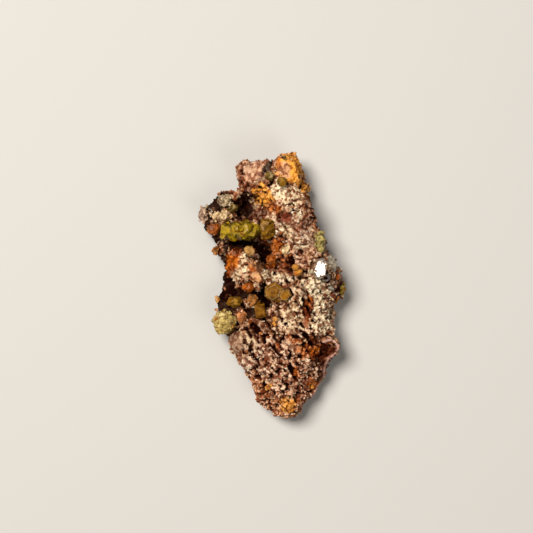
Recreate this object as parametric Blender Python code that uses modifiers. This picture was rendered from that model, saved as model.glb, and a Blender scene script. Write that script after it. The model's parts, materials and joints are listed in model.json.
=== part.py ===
"""Adamite specimen: vuggy limonite, lying on its flat back, with crystals of adamite in its hollows.

Metres, +Z up. +Y runs along the length of the stone and +X across it. The origin is under the middle of the
stone's box, on the surface that it lies on. Positions and sizes below are in millimetres, and MM turns them
into metres.
"""

import itertools
import math
import random

import bmesh
import bpy
from mathutils import Matrix, Vector, noise
from mathutils.bvhtree import BVHTree

MM = 0.001
UP = Vector((0, 0, 1))

# Driving dimensions of the stone.
LENGTH = 80.0
WIDTH = 45.0
LEDGE_TOP = 7.5  # the low ledge that carries the crystals on the left side
SEAT_GAP = 0.32  # between a crystal and the walls of its socket
FOOT_DEPTH = 0.45  # how far behind its middle a cluster is cut off, as a share of its smallest radius
FOOT_TAPER = 0.88  # width of a crystal at its root, as a share of its full width
TABLE_WIDTH = 0.74  # width of a crystal's flat end, as a share of its full width
ROOF_RIDGE = 0.48  # length of the ridge of a crystal's roof, as a share of its width
CRYSTAL_SIZES = (0.82, 1.15)  # widths in a group, as shares of its stated width
CRYSTAL_LENGTH = 1.25  # length of a crystal in a group, as a share of its width
GOLDEN_ANGLE = 137.5  # degrees from one crystal of a group to the next
SOCKET_BLOCK = 80.0  # block that a socket's cutter is planed from

# How the stone's surface is made.
STONE_VOXEL = 0.7
STONE_TRIANGLES = 2980  # about what is left of the stone's surface before its sockets are cut
ROOT_DEPTH = 4.0  # how far the masses reach below the resting face before they are cut off there
UNDERCUT = 3.0  # how far the side walls fall back at the resting face
UNDERCUT_HEIGHT = 9.0
COBBLE = 3.4  # spacing of the rounded lumps on the surface
COBBLE_HEIGHT = 2.2
COBBLE_LEVEL = 0.28  # a cobble's height, as a share, at which the surface stays where it is
SWELL = 10.0  # spacing of the broad swells and hollows
SWELL_HEIGHT = 1.3

# The stone seen from above, clockwise from its upper left corner.
OUTLINE = [
    (-10.2, 37.7), (-7.6, 37.8), (-6.1, 36.9), (-3.0, 36.8), (-0.2, 37.2), (1.7, 38.3), (2.5, 39.6),
    (4.3, 40.0), (6.2, 39.4), (7.3, 38.0), (7.7, 34.6), (8.8, 31.5), (10.6, 30.0), (11.0, 28.3),
    (9.9, 26.8), (10.3, 24.1), (11.5, 20.8), (12.5, 17.0), (14.4, 14.6), (15.4, 11.2), (17.2, 8.2),
    (19.6, 4.6), (20.8, 1.6), (22.3, -1.4), (21.4, -3.5), (18.6, -5.6), (19.8, -7.8), (19.3, -10.2),
    (18.4, -12.2), (17.4, -15.2), (19.4, -16.3), (20.2, -18.4), (19.1, -20.8), (15.9, -24.4),
    (16.1, -28.2), (13.8, -30.8), (12.4, -33.2), (9.3, -37.2), (7.1, -38.9), (4.7, -40.0), (2.8, -39.2),
    (1.0, -38.0), (-4.5, -37.1), (-5.6, -35.2), (-6.2, -31.6), (-9.4, -24.2), (-11.8, -20.0),
    (-12.8, -15.2), (-15.2, -12.0), (-16.8, -7.6), (-17.4, -3.8), (-15.6, -0.2), (-15.4, 6.0),
    (-18.5, 8.4), (-18.3, 12.0), (-17.4, 14.0), (-19.2, 16.4), (-21.0, 18.8), (-21.3, 22.2),
    (-17.6, 25.8), (-15.4, 28.6), (-12.4, 29.0), (-9.8, 27.4), (-9.7, 30.8), (-10.6, 34.2),
]

# Rounded masses of the stone: name, middle (x, y, z), radii (x, y, z), turn about Z in degrees.
BOULDERS = [
    ("upper right knob", (4.9, 34.5, 9.5), (4.5, 6.1, 8.6), 12),
    ("knob side", (9.0, 28.9, 10.0), (2.0, 2.0, 3.6), 0),
    ("saddle", (2.6, 27.6, 9.5), (7.4, 6.4, 7.6), -20),
    ("upper spine", (5.2, 19.6, 11.0), (7.4, 9.5, 8.0), 10),
    ("middle spine", (8.0, 9.6, 12.0), (8.4, 9.0, 8.8), 15),
    ("shoulder", (13.8, 3.6, 12.0), (6.6, 7.8, 8.2), 30),
    ("right point", (18.4, -1.2, 9.0), (3.6, 3.8, 5.2), 0),
    ("middle mass", (8.6, -3.4, 11.5), (9.6, 8.6, 8.6), 0),
    ("lower middle", (7.4, -13.0, 10.5), (11.4, 9.4, 8.0), 0),
    ("right lobe", (17.4, -18.3, 8.0), (3.4, 3.2, 6.0), 0),
    ("lower body", (3.4, -21.6, 9.8), (12.4, 9.6, 7.6), 0),
    ("lower end", (3.2, -30.6, 7.6), (8.9, 8.4, 7.0), 0),
    ("foot", (4.6, -36.4, 6.0), (5.4, 4.4, 5.6), 0),
    ("neck", (-4.2, -9.4, 7.5), (6.0, 6.4, 6.2), 0),
    ("ball seat", (-13.8, -8.4, 4.6), (3.2, 4.8, 5.2), 0),
    ("far left ledge", (-15.4, 19.4, 4.4), (6.6, 7.4, 6.0), 0),
    ("band wall", (-9.4, 17.2, 6.0), (9.4, 2.7, 6.6), 0),
    ("band root", (-1.4, 17.4, 8.0), (3.8, 4.0, 6.4), 0),
    ("right of the block", (-4.4, 3.6, 8.0), (5.0, 5.4, 8.2), 0),
    ("pair seat", (1.6, -1.4, 8.2), (4.6, 4.2, 6.2), 0),
]

# Blocky masses with flat faces: name, middle, full size, turns about X, Y and Z in degrees.
BLOCKS = [
    ("upper left block", (-4.6, 32.4, 8.8), (11.0, 9.4, 13.0), (8, -6, 4)),
    ("middle left block", (-9.4, 5.6, 8.2), (8.2, 9.6, 16.6), (5, -8, -24)),
    ("left wing", (-6.8, -18.8, 7.8), (8.4, 10.0, 12.6), (0, -9, 22)),
    ("flat cheek", (-10.9, -17.4, 9.0), (3.2, 7.4, 8.0), (0, 16, 12)),
    ("top ledge", (8.6, 22.6, 15.0), (6.4, 8.6, 6.0), (10, 14, 18)),
]

# Hollows and clefts: name, middle, radii, turn about Z.
HOLLOWS = [
    ("under the band", (-8.2, 12.2, 13.0), (7.2, 2.3, 9.2), -4),
    ("right of the block", (-2.4, 8.2, 13.4), (2.2, 5.6, 9.0), 12),
    ("left recess", (-15.0, 3.6, 12.0), (3.5, 7.4, 8.6), 6),
    ("beside the pair", (-2.1, -3.4, 14.0), (1.9, 3.6, 7.2), 18),
    ("above the wing", (-6.8, -8.0, 13.0), (3.2, 1.5, 5.8), -28),
    ("upper left recess", (-8.0, 23.4, 14.0), (3.0, 4.6, 9.0), 20),
    ("top cleft", (-0.6, 36.0, 16.4), (1.2, 2.6, 4.4), -28),
    ("spine cleft", (5.2, 4.6, 20.6), (1.1, 3.6, 3.4), 32),
    ("lower cleft", (-2.2, -12.6, 18.2), (1.1, 5.2, 4.6), 42),
    ("second cleft", (-5.8, -16.4, 17.0), (1.0, 4.6, 4.0), 40),
    ("rust strip", (10.8, -8.8, 20.8), (1.5, 4.8, 3.2), -8),
    ("pit", (5.6, -25.4, 17.8), (1.8, 2.6, 3.0), 30),
    ("shadowed pocket", (17.4, -21.4, 15.6), (2.0, 3.4, 5.0), -30),
]

# Rounded lumps that sit on whatever is below them: name, place (x, y), radius.
LUMPS = [
    ("corner knob", (-9.0, 36.2), 1.9),
    ("corner knob 2", (-6.6, 36.8), 1.6),
    ("edge knob", (-9.9, 33.6), 1.5),
    ("edge knob 2", (-9.7, 31.4), 1.3),
    ("edge knob 3", (-8.8, 29.6), 1.4),
    ("hanging knob", (-7.4, 28.2), 1.5),
    ("shoulder bump", (10.6, 28.9), 1.7),
    ("red nodule", (4.1, 20.2), 1.7),
    ("block lump", (-5.2, 5.6), 2.4),
    ("block lump 2", (-4.1, 2.7), 2.3),
    ("block crust", (-1.6, 3.4), 2.2),
    ("block corner", (-11.4, 8.6), 1.9),
    ("block foot", (-10.4, 2.6), 1.9),
    ("pink knob", (-16.9, 13.8), 1.4),
    ("band foot", (-1.4, 13.2), 1.4),
    ("far bead", (-19.6, 23.6), 1.2),
    ("recess bead", (-14.4, -1.0), 1.3),
    ("edge bead", (-17.4, -7.9), 1.2),
    ("bead under the ball", (-13.6, -15.4), 1.1),
    ("wing lump", (-7.4, -11.2), 1.8),
    ("grey knob", (18.8, -8.7), 1.6),
    ("right rim", (19.0, -17.6), 1.9),
]
SCATTERED_LUMPS = 170
SCATTER_FLOOR = 9.0  # scattered lumps lie no lower than this, so that the hollows stay open
LUMP_SIZES = (0.9, 2.1)

# Groups of crystals that stand out of a rounded core: name, middle, radii of the core, the way it faces,
# number of crystals, their width, and how far they stand out.
CLUSTERS = [
    ("adamite_band", (-9.6, 16.5, 12.6), (5.2, 2.0, 2.8), (0.0, -0.15, 1.0), 12, 3.5, 1.3),
    ("amber_band_end", (-17.3, 16.8, 9.8), (1.7, 1.5, 2.2), (-0.2, 0.0, 1.0), 5, 2.4, 0.7),
    ("olive_band_end", (-1.6, 16.9, 13.6), (1.9, 2.5, 2.6), (0.0, 0.0, 1.0), 5, 3.0, 0.9),
    ("cream_cluster", (-14.8, 20.8, 10.8), (2.4, 1.4, 2.0), (0.0, 0.1, 1.0), 6, 2.0, 0.6),
    ("grey_green_cluster", (-14.2, 25.5, 9.0), (1.6, 1.7, 2.6), (-0.1, 0.1, 1.0), 6, 2.0, 0.7),
    ("olive_cluster", (-11.9, 23.4, 8.4), (1.3, 0.9, 2.2), (0.0, 0.0, 1.0), 3, 1.9, 0.6),
    ("white_cluster", (-20.8, 21.2, 8.0), (1.1, 2.0, 2.2), (-0.2, 0.0, 1.0), 7, 1.7, 0.5),
    ("brown_sprig", (-17.2, 9.9, 6.4), (0.7, 1.5, 1.8), (-0.2, 0.0, 1.0), 4, 1.5, 0.6),
    ("beige_crystals", (-6.9, 10.3, 17.0), (1.1, 1.0, 1.6), (0.1, 0.2, 1.0), 3, 2.5, 0.8),
    ("amber_crystals", (-7.3, -0.5, 12.8), (1.5, 1.0, 2.0), (0.0, -0.2, 1.0), 4, 2.4, 0.7),
    ("brown_cluster", (-5.9, -4.3, 12.2), (1.1, 1.1, 1.6), (0.0, 0.0, 1.0), 4, 1.6, 0.7),
    ("olive_crystals", (-11.5, -4.9, 9.8), (1.9, 1.0, 1.8), (-0.1, -0.1, 1.0), 4, 2.5, 0.8),
    ("amber_chip", (-16.6, -4.4, 6.8), (0.6, 1.3, 1.8), (-0.2, 0.0, 1.0), 3, 1.5, 0.5),
    ("rust_cluster", (-9.3, -9.3, 10.8), (1.2, 1.2, 1.8), (0.0, 0.0, 1.0), 4, 1.9, 0.7),
    ("centre_amber", (-0.3, 7.7, 14.2), (1.2, 1.2, 2.4), (-0.3, 0.0, 1.0), 4, 2.3, 0.7),
    ("cream_yellow_cluster", (4.0, 10.7, 17.8), (1.3, 1.0, 1.8), (0.0, 0.0, 1.0), 4, 2.0, 0.6),
    ("orange_bead", (0.8, -9.9, 16.2), (0.5, 0.5, 1.4), (0.0, 0.0, 1.0), 3, 1.4, 0.5),
    ("edge_adamite", (14.0, 12.6, 15.0), (1.0, 2.9, 2.4), (0.6, 0.2, 1.0), 7, 2.5, 0.8),
    ("glassy_edge", (17.4, 6.0, 14.4), (1.2, 2.2, 2.2), (0.6, 0.2, 1.0), 5, 2.4, 0.8),
    ("edge_tip", (21.0, -1.0, 9.4), (0.5, 1.1, 1.6), (0.6, 0.0, 1.0), 4, 1.5, 0.6),
    ("olive_bead", (2.7, 30.8, 17.2), (1.3, 1.3, 1.3), (0.0, 0.0, 0.0), 7, 1.9, 0.3),
    ("brown_bead", (-0.8, 32.5, 16.2), (1.2, 1.2, 1.2), (0.0, 0.0, 0.0), 6, 1.8, 0.3),
    ("adamite_ball", (-14.4, -11.1, 9.8), (2.9, 2.9, 2.9), (0.0, 0.0, 0.0), 20, 2.8, 0.8),
]

# Single crystals: node, root, the way it points, width, thickness, length, turn about its length in degrees,
# and its form: six-sided under a roof or a flat table, or a four-sided block under a table.
CRYSTALS = [
    ("adamite_pair", (0.8, -1.3, 12.0), (-0.08, -0.08, 1.0), 5.8, 5.9, 7.4, 24, "table"),
    ("adamite_pair", (3.4, -2.3, 12.4), (0.03, -0.06, 1.0), 4.0, 4.1, 7.5, 52, "table"),
    ("adamite_pair", (1.6, -3.0, 12.0), (-0.02, -0.16, 1.0), 3.0, 2.6, 6.4, 5, "roof"),
    ("yellow_prism", (-3.7, -6.9, 8.6), (0.0, -0.10, 1.0), 3.1, 4.0, 6.6, 8, "block"),
    ("yellow_prism", (-4.6, -5.4, 8.6), (-0.04, 0.06, 1.0), 2.6, 2.3, 5.4, 20, "roof"),
    ("golden_prism", (7.3, 5.7, 17.0), (-0.15, -0.05, 1.0), 2.3, 2.0, 5.4, 0, "roof"),
    ("golden_prism", (7.5, 4.7, 17.0), (0.0, -0.24, 1.0), 3.0, 2.2, 4.8, 30, "roof"),
    ("clear_crystal", (13.3, 5.4, 14.6), (0.10, -0.06, 1.0), 6.8, 4.8, 7.0, 78, "table"),
    ("clear_crystal", (14.6, 3.2, 14.2), (0.25, -0.20, 1.0), 3.4, 2.8, 5.8, 20, "roof"),
]

# Colour (linear), roughness and metallic value of each kind of material.
FINISHES = {
    "limonite": ((0.30, 0.155, 0.085), 0.85, 0.0),
    "yellow_adamite": ((0.50, 0.44, 0.05), 0.22, 0.0),
    "olive_adamite": ((0.30, 0.25, 0.06), 0.26, 0.0),
    "amber_adamite": ((0.42, 0.16, 0.03), 0.28, 0.0),
    "pale_adamite": ((0.58, 0.52, 0.36), 0.40, 0.0),
    "clear_adamite": ((0.62, 0.60, 0.54), 0.08, 0.0),
}
FINISH_OF = {
    "adamite_pair": "olive_adamite",
    "olive_crystals": "olive_adamite",
    "olive_cluster": "olive_adamite",
    "olive_bead": "olive_adamite",
    "olive_band_end": "olive_adamite",
    "edge_adamite": "olive_adamite",
    "amber_crystals": "amber_adamite",
    "amber_band_end": "amber_adamite",
    "amber_chip": "amber_adamite",
    "centre_amber": "amber_adamite",
    "golden_prism": "amber_adamite",
    "brown_sprig": "amber_adamite",
    "brown_cluster": "amber_adamite",
    "rust_cluster": "amber_adamite",
    "brown_bead": "amber_adamite",
    "orange_bead": "amber_adamite",
    "white_cluster": "pale_adamite",
    "cream_cluster": "pale_adamite",
    "cream_yellow_cluster": "pale_adamite",
    "grey_green_cluster": "pale_adamite",
    "beige_crystals": "pale_adamite",
    "clear_crystal": "clear_adamite",
    "glassy_edge": "clear_adamite",
}


def clear_scene():
    for obj in list(bpy.data.objects):
        bpy.data.objects.remove(obj, do_unlink=True)


def collection(name):
    made = bpy.data.collections.new(name)
    bpy.context.scene.collection.children.link(made)
    return made


def material(name):
    colour, roughness, metallic = FINISHES[name]
    made = bpy.data.materials.get(name)
    if made is None:
        made = bpy.data.materials.new(name)
        made.use_nodes = True
        shader = made.node_tree.nodes["Principled BSDF"]
        shader.inputs["Base Color"].default_value = (*colour, 1.0)
        shader.inputs["Roughness"].default_value = roughness
        shader.inputs["Metallic"].default_value = metallic
    return made


def mesh_object(name, shape, group):
    """An object that holds the bmesh shape, which is freed."""
    mesh = bpy.data.meshes.new(name)
    shape.to_mesh(mesh)
    shape.free()
    made = bpy.data.objects.new(name, mesh)
    group.objects.link(made)
    return made


def as_helper(obj):
    obj.hide_render = True
    obj.display_type = "WIRE"
    return obj


def applied(obj):
    """Turns obj's modifiers into its mesh."""
    graph = bpy.context.evaluated_depsgraph_get()
    mesh = bpy.data.meshes.new_from_object(obj.evaluated_get(graph))
    obj.modifiers.clear()
    obj.data = mesh
    return obj


def boolean(obj, other, operation, joined=False, solver="EXACT"):
    cut = obj.modifiers.new(operation.lower(), "BOOLEAN")
    cut.operation = operation
    cut.object = other
    cut.solver = solver
    cut.use_self = joined
    return applied(obj)


def placed(place, turns=(0, 0, 0)):
    x, y, z = (math.radians(turn) for turn in turns)
    turned = Matrix.Rotation(z, 4, "Z") @ Matrix.Rotation(y, 4, "Y") @ Matrix.Rotation(x, 4, "X")
    return Matrix.Translation(Vector(place) * MM) @ turned


def ellipsoid(shape, middle, radii, turn, detail):
    size = Matrix.Diagonal((*(Vector(radii) * MM), 1.0))
    bmesh.ops.create_icosphere(
        shape, subdivisions=detail, radius=1.0, matrix=placed(middle, (0, 0, turn)) @ size
    )


def slab_object(group):
    """The low body of the stone: its outline, drawn flat and thickened."""
    curve = bpy.data.curves.new("slab", "CURVE")
    curve.dimensions = "2D"
    curve.fill_mode = "BOTH"
    curve.extrude = (LEDGE_TOP + ROOT_DEPTH) / 2 * MM
    spline = curve.splines.new("POLY")
    spline.points.add(len(OUTLINE) - 1)
    for point, (x, y) in zip(spline.points, OUTLINE):
        point.co = (x * MM, y * MM, 0.0, 1.0)
    spline.use_cyclic_u = True
    made = bpy.data.objects.new("slab", curve)
    made.location.z = (LEDGE_TOP - ROOT_DEPTH) / 2 * MM
    group.objects.link(made)
    bpy.context.view_layer.update()
    return made


def masses():
    """Every solid mass of the stone, overlapping, in one bmesh."""
    shape = bmesh.new()
    for _, middle, radii, turn in BOULDERS:
        ellipsoid(shape, middle, radii, turn, 3)
    for _, middle, size, turns in BLOCKS:
        side = Matrix.Diagonal((*(Vector(size) * MM), 1.0))
        bmesh.ops.create_cube(shape, size=1.0, matrix=placed(middle, turns) @ side)
    return shape


def hollows():
    shape = bmesh.new()
    for _, middle, radii, turn in HOLLOWS:
        ellipsoid(shape, middle, radii, turn, 3)
    return shape


def lumpiness(place):
    """How far the surface stands out or falls back at a place in millimetres: cobbles on broad swells."""
    swell = noise.fractal(place / SWELL, 1.0, 2.0, 3)
    near = noise.voronoi(place / COBBLE)[0]
    cobble = near[1] - near[0] - COBBLE_LEVEL
    return SWELL_HEIGHT * swell + COBBLE_HEIGHT * cobble


def weather(mesh):
    """Roughens the surface, and draws the foot of its walls in."""
    moves = []
    for vertex in mesh.vertices:
        place = vertex.co / MM
        normal = vertex.normal
        out = lumpiness(place)
        low = max(0.0, 1.0 - max(place.z, 0.0) / UNDERCUT_HEIGHT)
        sideways = Vector((normal.x, normal.y, 0.0)) * (UNDERCUT * low * low)
        moves.append((normal * out - sideways) * MM)
    for vertex, move in zip(mesh.vertices, moves):
        vertex.co += move


def largest_piece(shape):
    """Deletes every loose bit but the largest."""
    todo = set(shape.verts)
    pieces = []
    while todo:
        edge = [todo.pop()]
        piece = set(edge)
        while edge:
            vertex = edge.pop()
            for link in vertex.link_edges:
                other = link.other_vert(vertex)
                if other not in piece:
                    piece.add(other)
                    todo.discard(other)
                    edge.append(other)
        pieces.append(piece)
    pieces.sort(key=len)
    loose = [vertex for piece in pieces[:-1] for vertex in piece]
    bmesh.ops.delete(shape, geom=loose, context="VERTS")


def cut_flat(obj):
    """Cuts the stone off at z = 0, where it rests."""
    shape = bmesh.new()
    shape.from_mesh(obj.data)
    everything = shape.verts[:] + shape.edges[:] + shape.faces[:]
    cut = bmesh.ops.bisect_plane(
        shape, geom=everything, dist=0.02 * MM, plane_co=(0, 0, 0), plane_no=-UP, clear_outer=True
    )
    rim = [item for item in cut["geom_cut"] if isinstance(item, bmesh.types.BMEdge)]
    bmesh.ops.edgenet_fill(shape, edges=rim)
    largest_piece(shape)
    bmesh.ops.triangulate(shape, faces=shape.faces[:])
    bmesh.ops.recalc_face_normals(shape, faces=shape.faces[:])
    shape.to_mesh(obj.data)
    shape.free()


def add_lumps(obj):
    """Sets the named lumps, and scattered ones, on the top of obj, still as separate shells."""
    chance = random.Random(7)
    lumps = [(place, radius, 0.0) for _, place, radius in LUMPS]
    for _ in range(SCATTERED_LUMPS):
        place = (chance.uniform(-0.5, 0.5) * WIDTH, chance.uniform(-0.5, 0.5) * LENGTH)
        lumps.append((place, chance.uniform(*LUMP_SIZES), SCATTER_FLOOR))
    shape = bmesh.new()
    shape.from_mesh(obj.data)
    below = BVHTree.FromBMesh(shape)
    for (x, y), radius, floor in lumps:
        found, normal, _, _ = below.ray_cast(Vector((x, y, LENGTH)) * MM, -UP)
        if found and found.z > floor * MM:
            middle = (found - 0.25 * radius * MM * normal) / MM
            flat = chance.uniform(0.65, 1.0)
            ellipsoid(shape, middle, (radius, radius * flat, radius), chance.uniform(0, 180), 2)
    shape.to_mesh(obj.data)
    shape.free()


def stone_object(group, helpers):
    slab = slab_object(helpers)
    graph = bpy.context.evaluated_depsgraph_get()
    shape = masses()
    low_body = bpy.data.meshes.new_from_object(slab.evaluated_get(graph))
    low_body.transform(slab.matrix_world)
    shape.from_mesh(low_body)
    bpy.data.objects.remove(slab)
    bmesh.ops.remove_doubles(shape, verts=shape.verts[:], dist=0.001 * MM)
    stone = mesh_object("limonite_matrix", shape, group)
    remesh(stone, STONE_VOXEL)
    carved = as_helper(mesh_object("hollows", hollows(), helpers))
    remesh(carved, STONE_VOXEL / 2)
    boolean(stone, carved, "DIFFERENCE")
    add_lumps(stone)
    remesh(stone, STONE_VOXEL)
    weather(stone.data)
    remesh(stone, STONE_VOXEL)
    thin = stone.modifiers.new("thin", "DECIMATE")
    thin.ratio = STONE_TRIANGLES / (2 * len(stone.data.polygons))
    applied(stone)
    cut_flat(stone)
    return stone


def remesh(obj, voxel):
    skin = obj.modifiers.new("skin", "REMESH")
    skin.mode = "VOXEL"
    skin.voxel_size = voxel * MM
    return applied(obj)


def six_sided(width, thickness):
    turns = [math.radians(turn) for turn in (0, 55, 125, 180, 235, 305)]
    return [(0.5 * math.cos(turn) * width, 0.5 * math.sin(turn) * thickness) for turn in turns]


def four_sided(width, thickness):
    return [(0.5 * x * width, 0.5 * y * thickness) for x, y in ((1, 1), (-1, 1), (-1, -1), (1, -1))]


def crystal_points(section, width, length, form="roof"):
    """Corners of one adamite crystal along +Z: a prism under a roof or a table, in millimetres."""
    points = [Vector((FOOT_TAPER * x, FOOT_TAPER * y, 0.0)) for x, y in section]
    if form != "roof":
        points += [Vector((x, y, length - 0.14 * width)) for x, y in section]
        return points + [Vector((TABLE_WIDTH * x, TABLE_WIDTH * y, length)) for x, y in section]
    points += [Vector((x, y, length - 0.34 * width)) for x, y in section]
    ridge = 0.5 * ROOF_RIDGE * width
    return points + [Vector((-ridge, 0.0, length)), Vector((ridge, 0.0, length - 0.03 * width))]


def stand(points, root, lean, turn):
    """Moves crystal corners so that the crystal starts at root and points along lean."""
    turned = UP.rotation_difference(lean).to_matrix().to_4x4() @ Matrix.Rotation(turn, 4, "Z")
    return [(turned @ point + root) * MM for point in points]


def hull_mesh(shape, points):
    made = [shape.verts.new(point) for point in points]
    hull = bmesh.ops.convex_hull(shape, input=made)
    inner = hull["geom_interior"] + hull["geom_unused"]
    unused = {item for item in inner if isinstance(item, bmesh.types.BMVert)}
    bmesh.ops.delete(shape, geom=list(unused), context="VERTS")


def joined_crystals(name, crystals, group):
    """One solid from crystals that overlap."""
    first, rest = bmesh.new(), bmesh.new()
    hull_mesh(first, crystals[0])
    for points in crystals[1:]:
        hull_mesh(rest, points)
    made = mesh_object(name, first, group)
    others = as_helper(mesh_object(name + "_others", rest, bpy.context.scene.collection))
    boolean(made, others, "UNION", joined=True)
    bpy.data.objects.remove(others)
    return made


def cluster_crystals(middle, radii, facing, count, width, proud, seed):
    """Corners of a cluster's crystals, which stand square to a rounded core on the side that it faces."""
    chance = random.Random(seed)
    middle, radii, facing = Vector(middle), Vector(radii), Vector(facing)
    whole = facing.length < 0.5
    made = []
    for i in range(count):
        height = 1.0 - (2.0 if whole else 1.1) * (i + 0.5) / count
        flat = math.sqrt(1.0 - height * height)
        turn = i * math.radians(GOLDEN_ANGLE)
        way = Vector((flat * math.cos(turn), flat * math.sin(turn), height))
        if not whole:
            way.rotate(UP.rotation_difference(facing))
        outward = Vector([part / radius for part, radius in zip(way, radii)]).normalized()
        size = width * chance.uniform(*CRYSTAL_SIZES)
        length = min(CRYSTAL_LENGTH * width, min(radii) + proud)
        root = middle + radii * way + outward * (proud * chance.uniform(0.75, 1.2) - length)
        section = four_sided(size, size * chance.uniform(0.78, 0.98))
        corners = crystal_points(section, size, length)
        made.append(stand(corners, root, outward, chance.uniform(0, math.pi)))
    return made


def level_foot(obj, middle, radii, facing):
    """Cuts a cluster's hidden foot off flat, a little behind its middle."""
    facing = Vector(facing).normalized()
    shape = bmesh.new()
    shape.from_mesh(obj.data)
    everything = shape.verts[:] + shape.edges[:] + shape.faces[:]
    back = (Vector(middle) - FOOT_DEPTH * min(radii) * facing) * MM
    bmesh.ops.bisect_plane(
        shape, geom=everything, dist=0.01 * MM, plane_co=back, plane_no=-facing, clear_outer=True
    )
    bmesh.ops.holes_fill(shape, edges=[edge for edge in shape.edges if edge.is_boundary])
    largest_piece(shape)
    bmesh.ops.recalc_face_normals(shape, faces=shape.faces[:])
    shape.to_mesh(obj.data)
    shape.free()


def socket_for(name, points, group):
    """A cutter a little larger than what the points enclose: a block planed down to them from many sides."""
    shape = bmesh.new()
    bmesh.ops.create_cube(shape, size=SOCKET_BLOCK * MM, matrix=Matrix.Translation(points[0]))
    for side in itertools.product((-1, 0, 1), repeat=3):
        if any(side):
            way = Vector(side).normalized()
            furthest = max(way.dot(point) for point in points) + SEAT_GAP * MM
            everything = shape.verts[:] + shape.edges[:] + shape.faces[:]
            bmesh.ops.bisect_plane(
                shape, geom=everything, dist=0, plane_co=way * furthest, plane_no=way, clear_outer=True
            )
            bmesh.ops.holes_fill(shape, edges=[edge for edge in shape.edges if edge.is_boundary])
    bmesh.ops.remove_doubles(shape, verts=shape.verts[:], dist=0.01 * MM)
    bmesh.ops.recalc_face_normals(shape, faces=shape.faces[:])
    return as_helper(mesh_object(name + "_socket", shape, group))


def cluster_objects(parts, helpers):
    """Each cluster, with its sockets."""
    for seed, (name, middle, radii, facing, count, width, proud) in enumerate(CLUSTERS):
        crystals = cluster_crystals(middle, radii, facing, count, width, proud, seed)
        made = joined_crystals(name, crystals, parts)
        if any(facing):
            level_foot(made, middle, radii, facing)
        points = [vertex.co.copy() for vertex in made.data.vertices]
        yield made, [socket_for(name, points, helpers)]


def crystal_objects(parts, helpers):
    """Each group of hand-placed crystals, with a socket for every crystal."""
    groups = {}
    for name, root, way, width, thickness, length, turn, form in CRYSTALS:
        section = four_sided if form == "block" else six_sided
        corners = crystal_points(section(width, thickness), width, length, form)
        stood = stand(corners, Vector(root), Vector(way).normalized(), math.radians(turn))
        groups.setdefault(name, []).append(stood)
    for name, crystals in groups.items():
        made = joined_crystals(name, crystals, parts)
        yield made, [socket_for(name, points, helpers) for points in crystals]


def box_of(obj):
    places = [vertex.co for vertex in obj.data.vertices]
    return [(min(place[i] for place in places), max(place[i] for place in places)) for i in range(3)]


def boxes_meet(first, second):
    return all(a[0] < b[1] and b[0] < a[1] for a, b in zip(box_of(first), box_of(second)))


def keep_largest(obj):
    shape = bmesh.new()
    shape.from_mesh(obj.data)
    largest_piece(shape)
    shape.to_mesh(obj.data)
    shape.free()


def main():
    clear_scene()
    parts = collection("adamite_specimen")
    helpers = collection("cutters")
    stone = stone_object(parts, helpers)
    stone.data.materials.append(material("limonite"))
    earlier = []
    for made, sockets in itertools.chain(cluster_objects(parts, helpers), crystal_objects(parts, helpers)):
        made.data.materials.append(material(FINISH_OF.get(made.name, "yellow_adamite")))
        for socket in earlier:
            if boxes_meet(made, socket):
                boolean(made, socket, "DIFFERENCE")
        keep_largest(made)
        for socket in sockets:
            boolean(stone, socket, "DIFFERENCE", solver="MANIFOLD")
        earlier += sockets
    keep_largest(stone)


main()
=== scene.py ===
"""Adamite specimen: the looks of the stone, its druse and its crystals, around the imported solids.

Metres, +Z up. Places and sizes below are in millimetres, and MM turns them into metres.
"""

import itertools
import json
import math
import random

import bmesh
import bpy
import numpy as np
from mathutils import Matrix, Vector, noise
from mathutils.bvhtree import BVHTree

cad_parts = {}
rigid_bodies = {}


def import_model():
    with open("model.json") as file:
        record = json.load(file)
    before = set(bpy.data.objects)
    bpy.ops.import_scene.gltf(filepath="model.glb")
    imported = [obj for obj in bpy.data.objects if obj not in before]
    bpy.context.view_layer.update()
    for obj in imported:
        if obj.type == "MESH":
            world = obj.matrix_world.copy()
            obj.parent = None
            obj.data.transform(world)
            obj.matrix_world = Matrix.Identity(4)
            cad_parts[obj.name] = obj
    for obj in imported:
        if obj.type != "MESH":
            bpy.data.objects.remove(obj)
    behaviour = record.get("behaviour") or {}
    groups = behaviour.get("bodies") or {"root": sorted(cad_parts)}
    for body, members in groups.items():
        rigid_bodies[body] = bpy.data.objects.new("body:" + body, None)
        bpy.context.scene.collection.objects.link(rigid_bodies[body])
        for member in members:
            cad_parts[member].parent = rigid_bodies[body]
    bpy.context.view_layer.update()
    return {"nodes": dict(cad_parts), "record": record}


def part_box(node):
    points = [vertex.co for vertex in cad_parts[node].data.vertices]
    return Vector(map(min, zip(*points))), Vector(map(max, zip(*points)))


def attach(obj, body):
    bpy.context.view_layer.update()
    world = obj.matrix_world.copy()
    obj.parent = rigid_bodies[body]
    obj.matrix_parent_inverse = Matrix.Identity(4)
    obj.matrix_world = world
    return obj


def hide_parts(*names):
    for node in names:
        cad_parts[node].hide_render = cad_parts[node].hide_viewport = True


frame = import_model()
SLOTS = {part["node"]: part["material_slot"] for part in frame["record"]["subparts"]}

MM = 0.001
UP = Vector((0, 0, 1))
STONE = "limonite_matrix"
GOLDEN_ANGLE = math.radians(137.5)

# The view: straight down, with a long lens.
FRAME_WIDTH = 160.0
FRAME_CENTRE = (-1.8, 5.7)
FRAME_HEIGHT = 10.0  # height above the floor at which the frame is FRAME_WIDTH wide
LENS = 100.0
SENSOR = 36.0
NEAR_CLIP = 10.0

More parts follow.
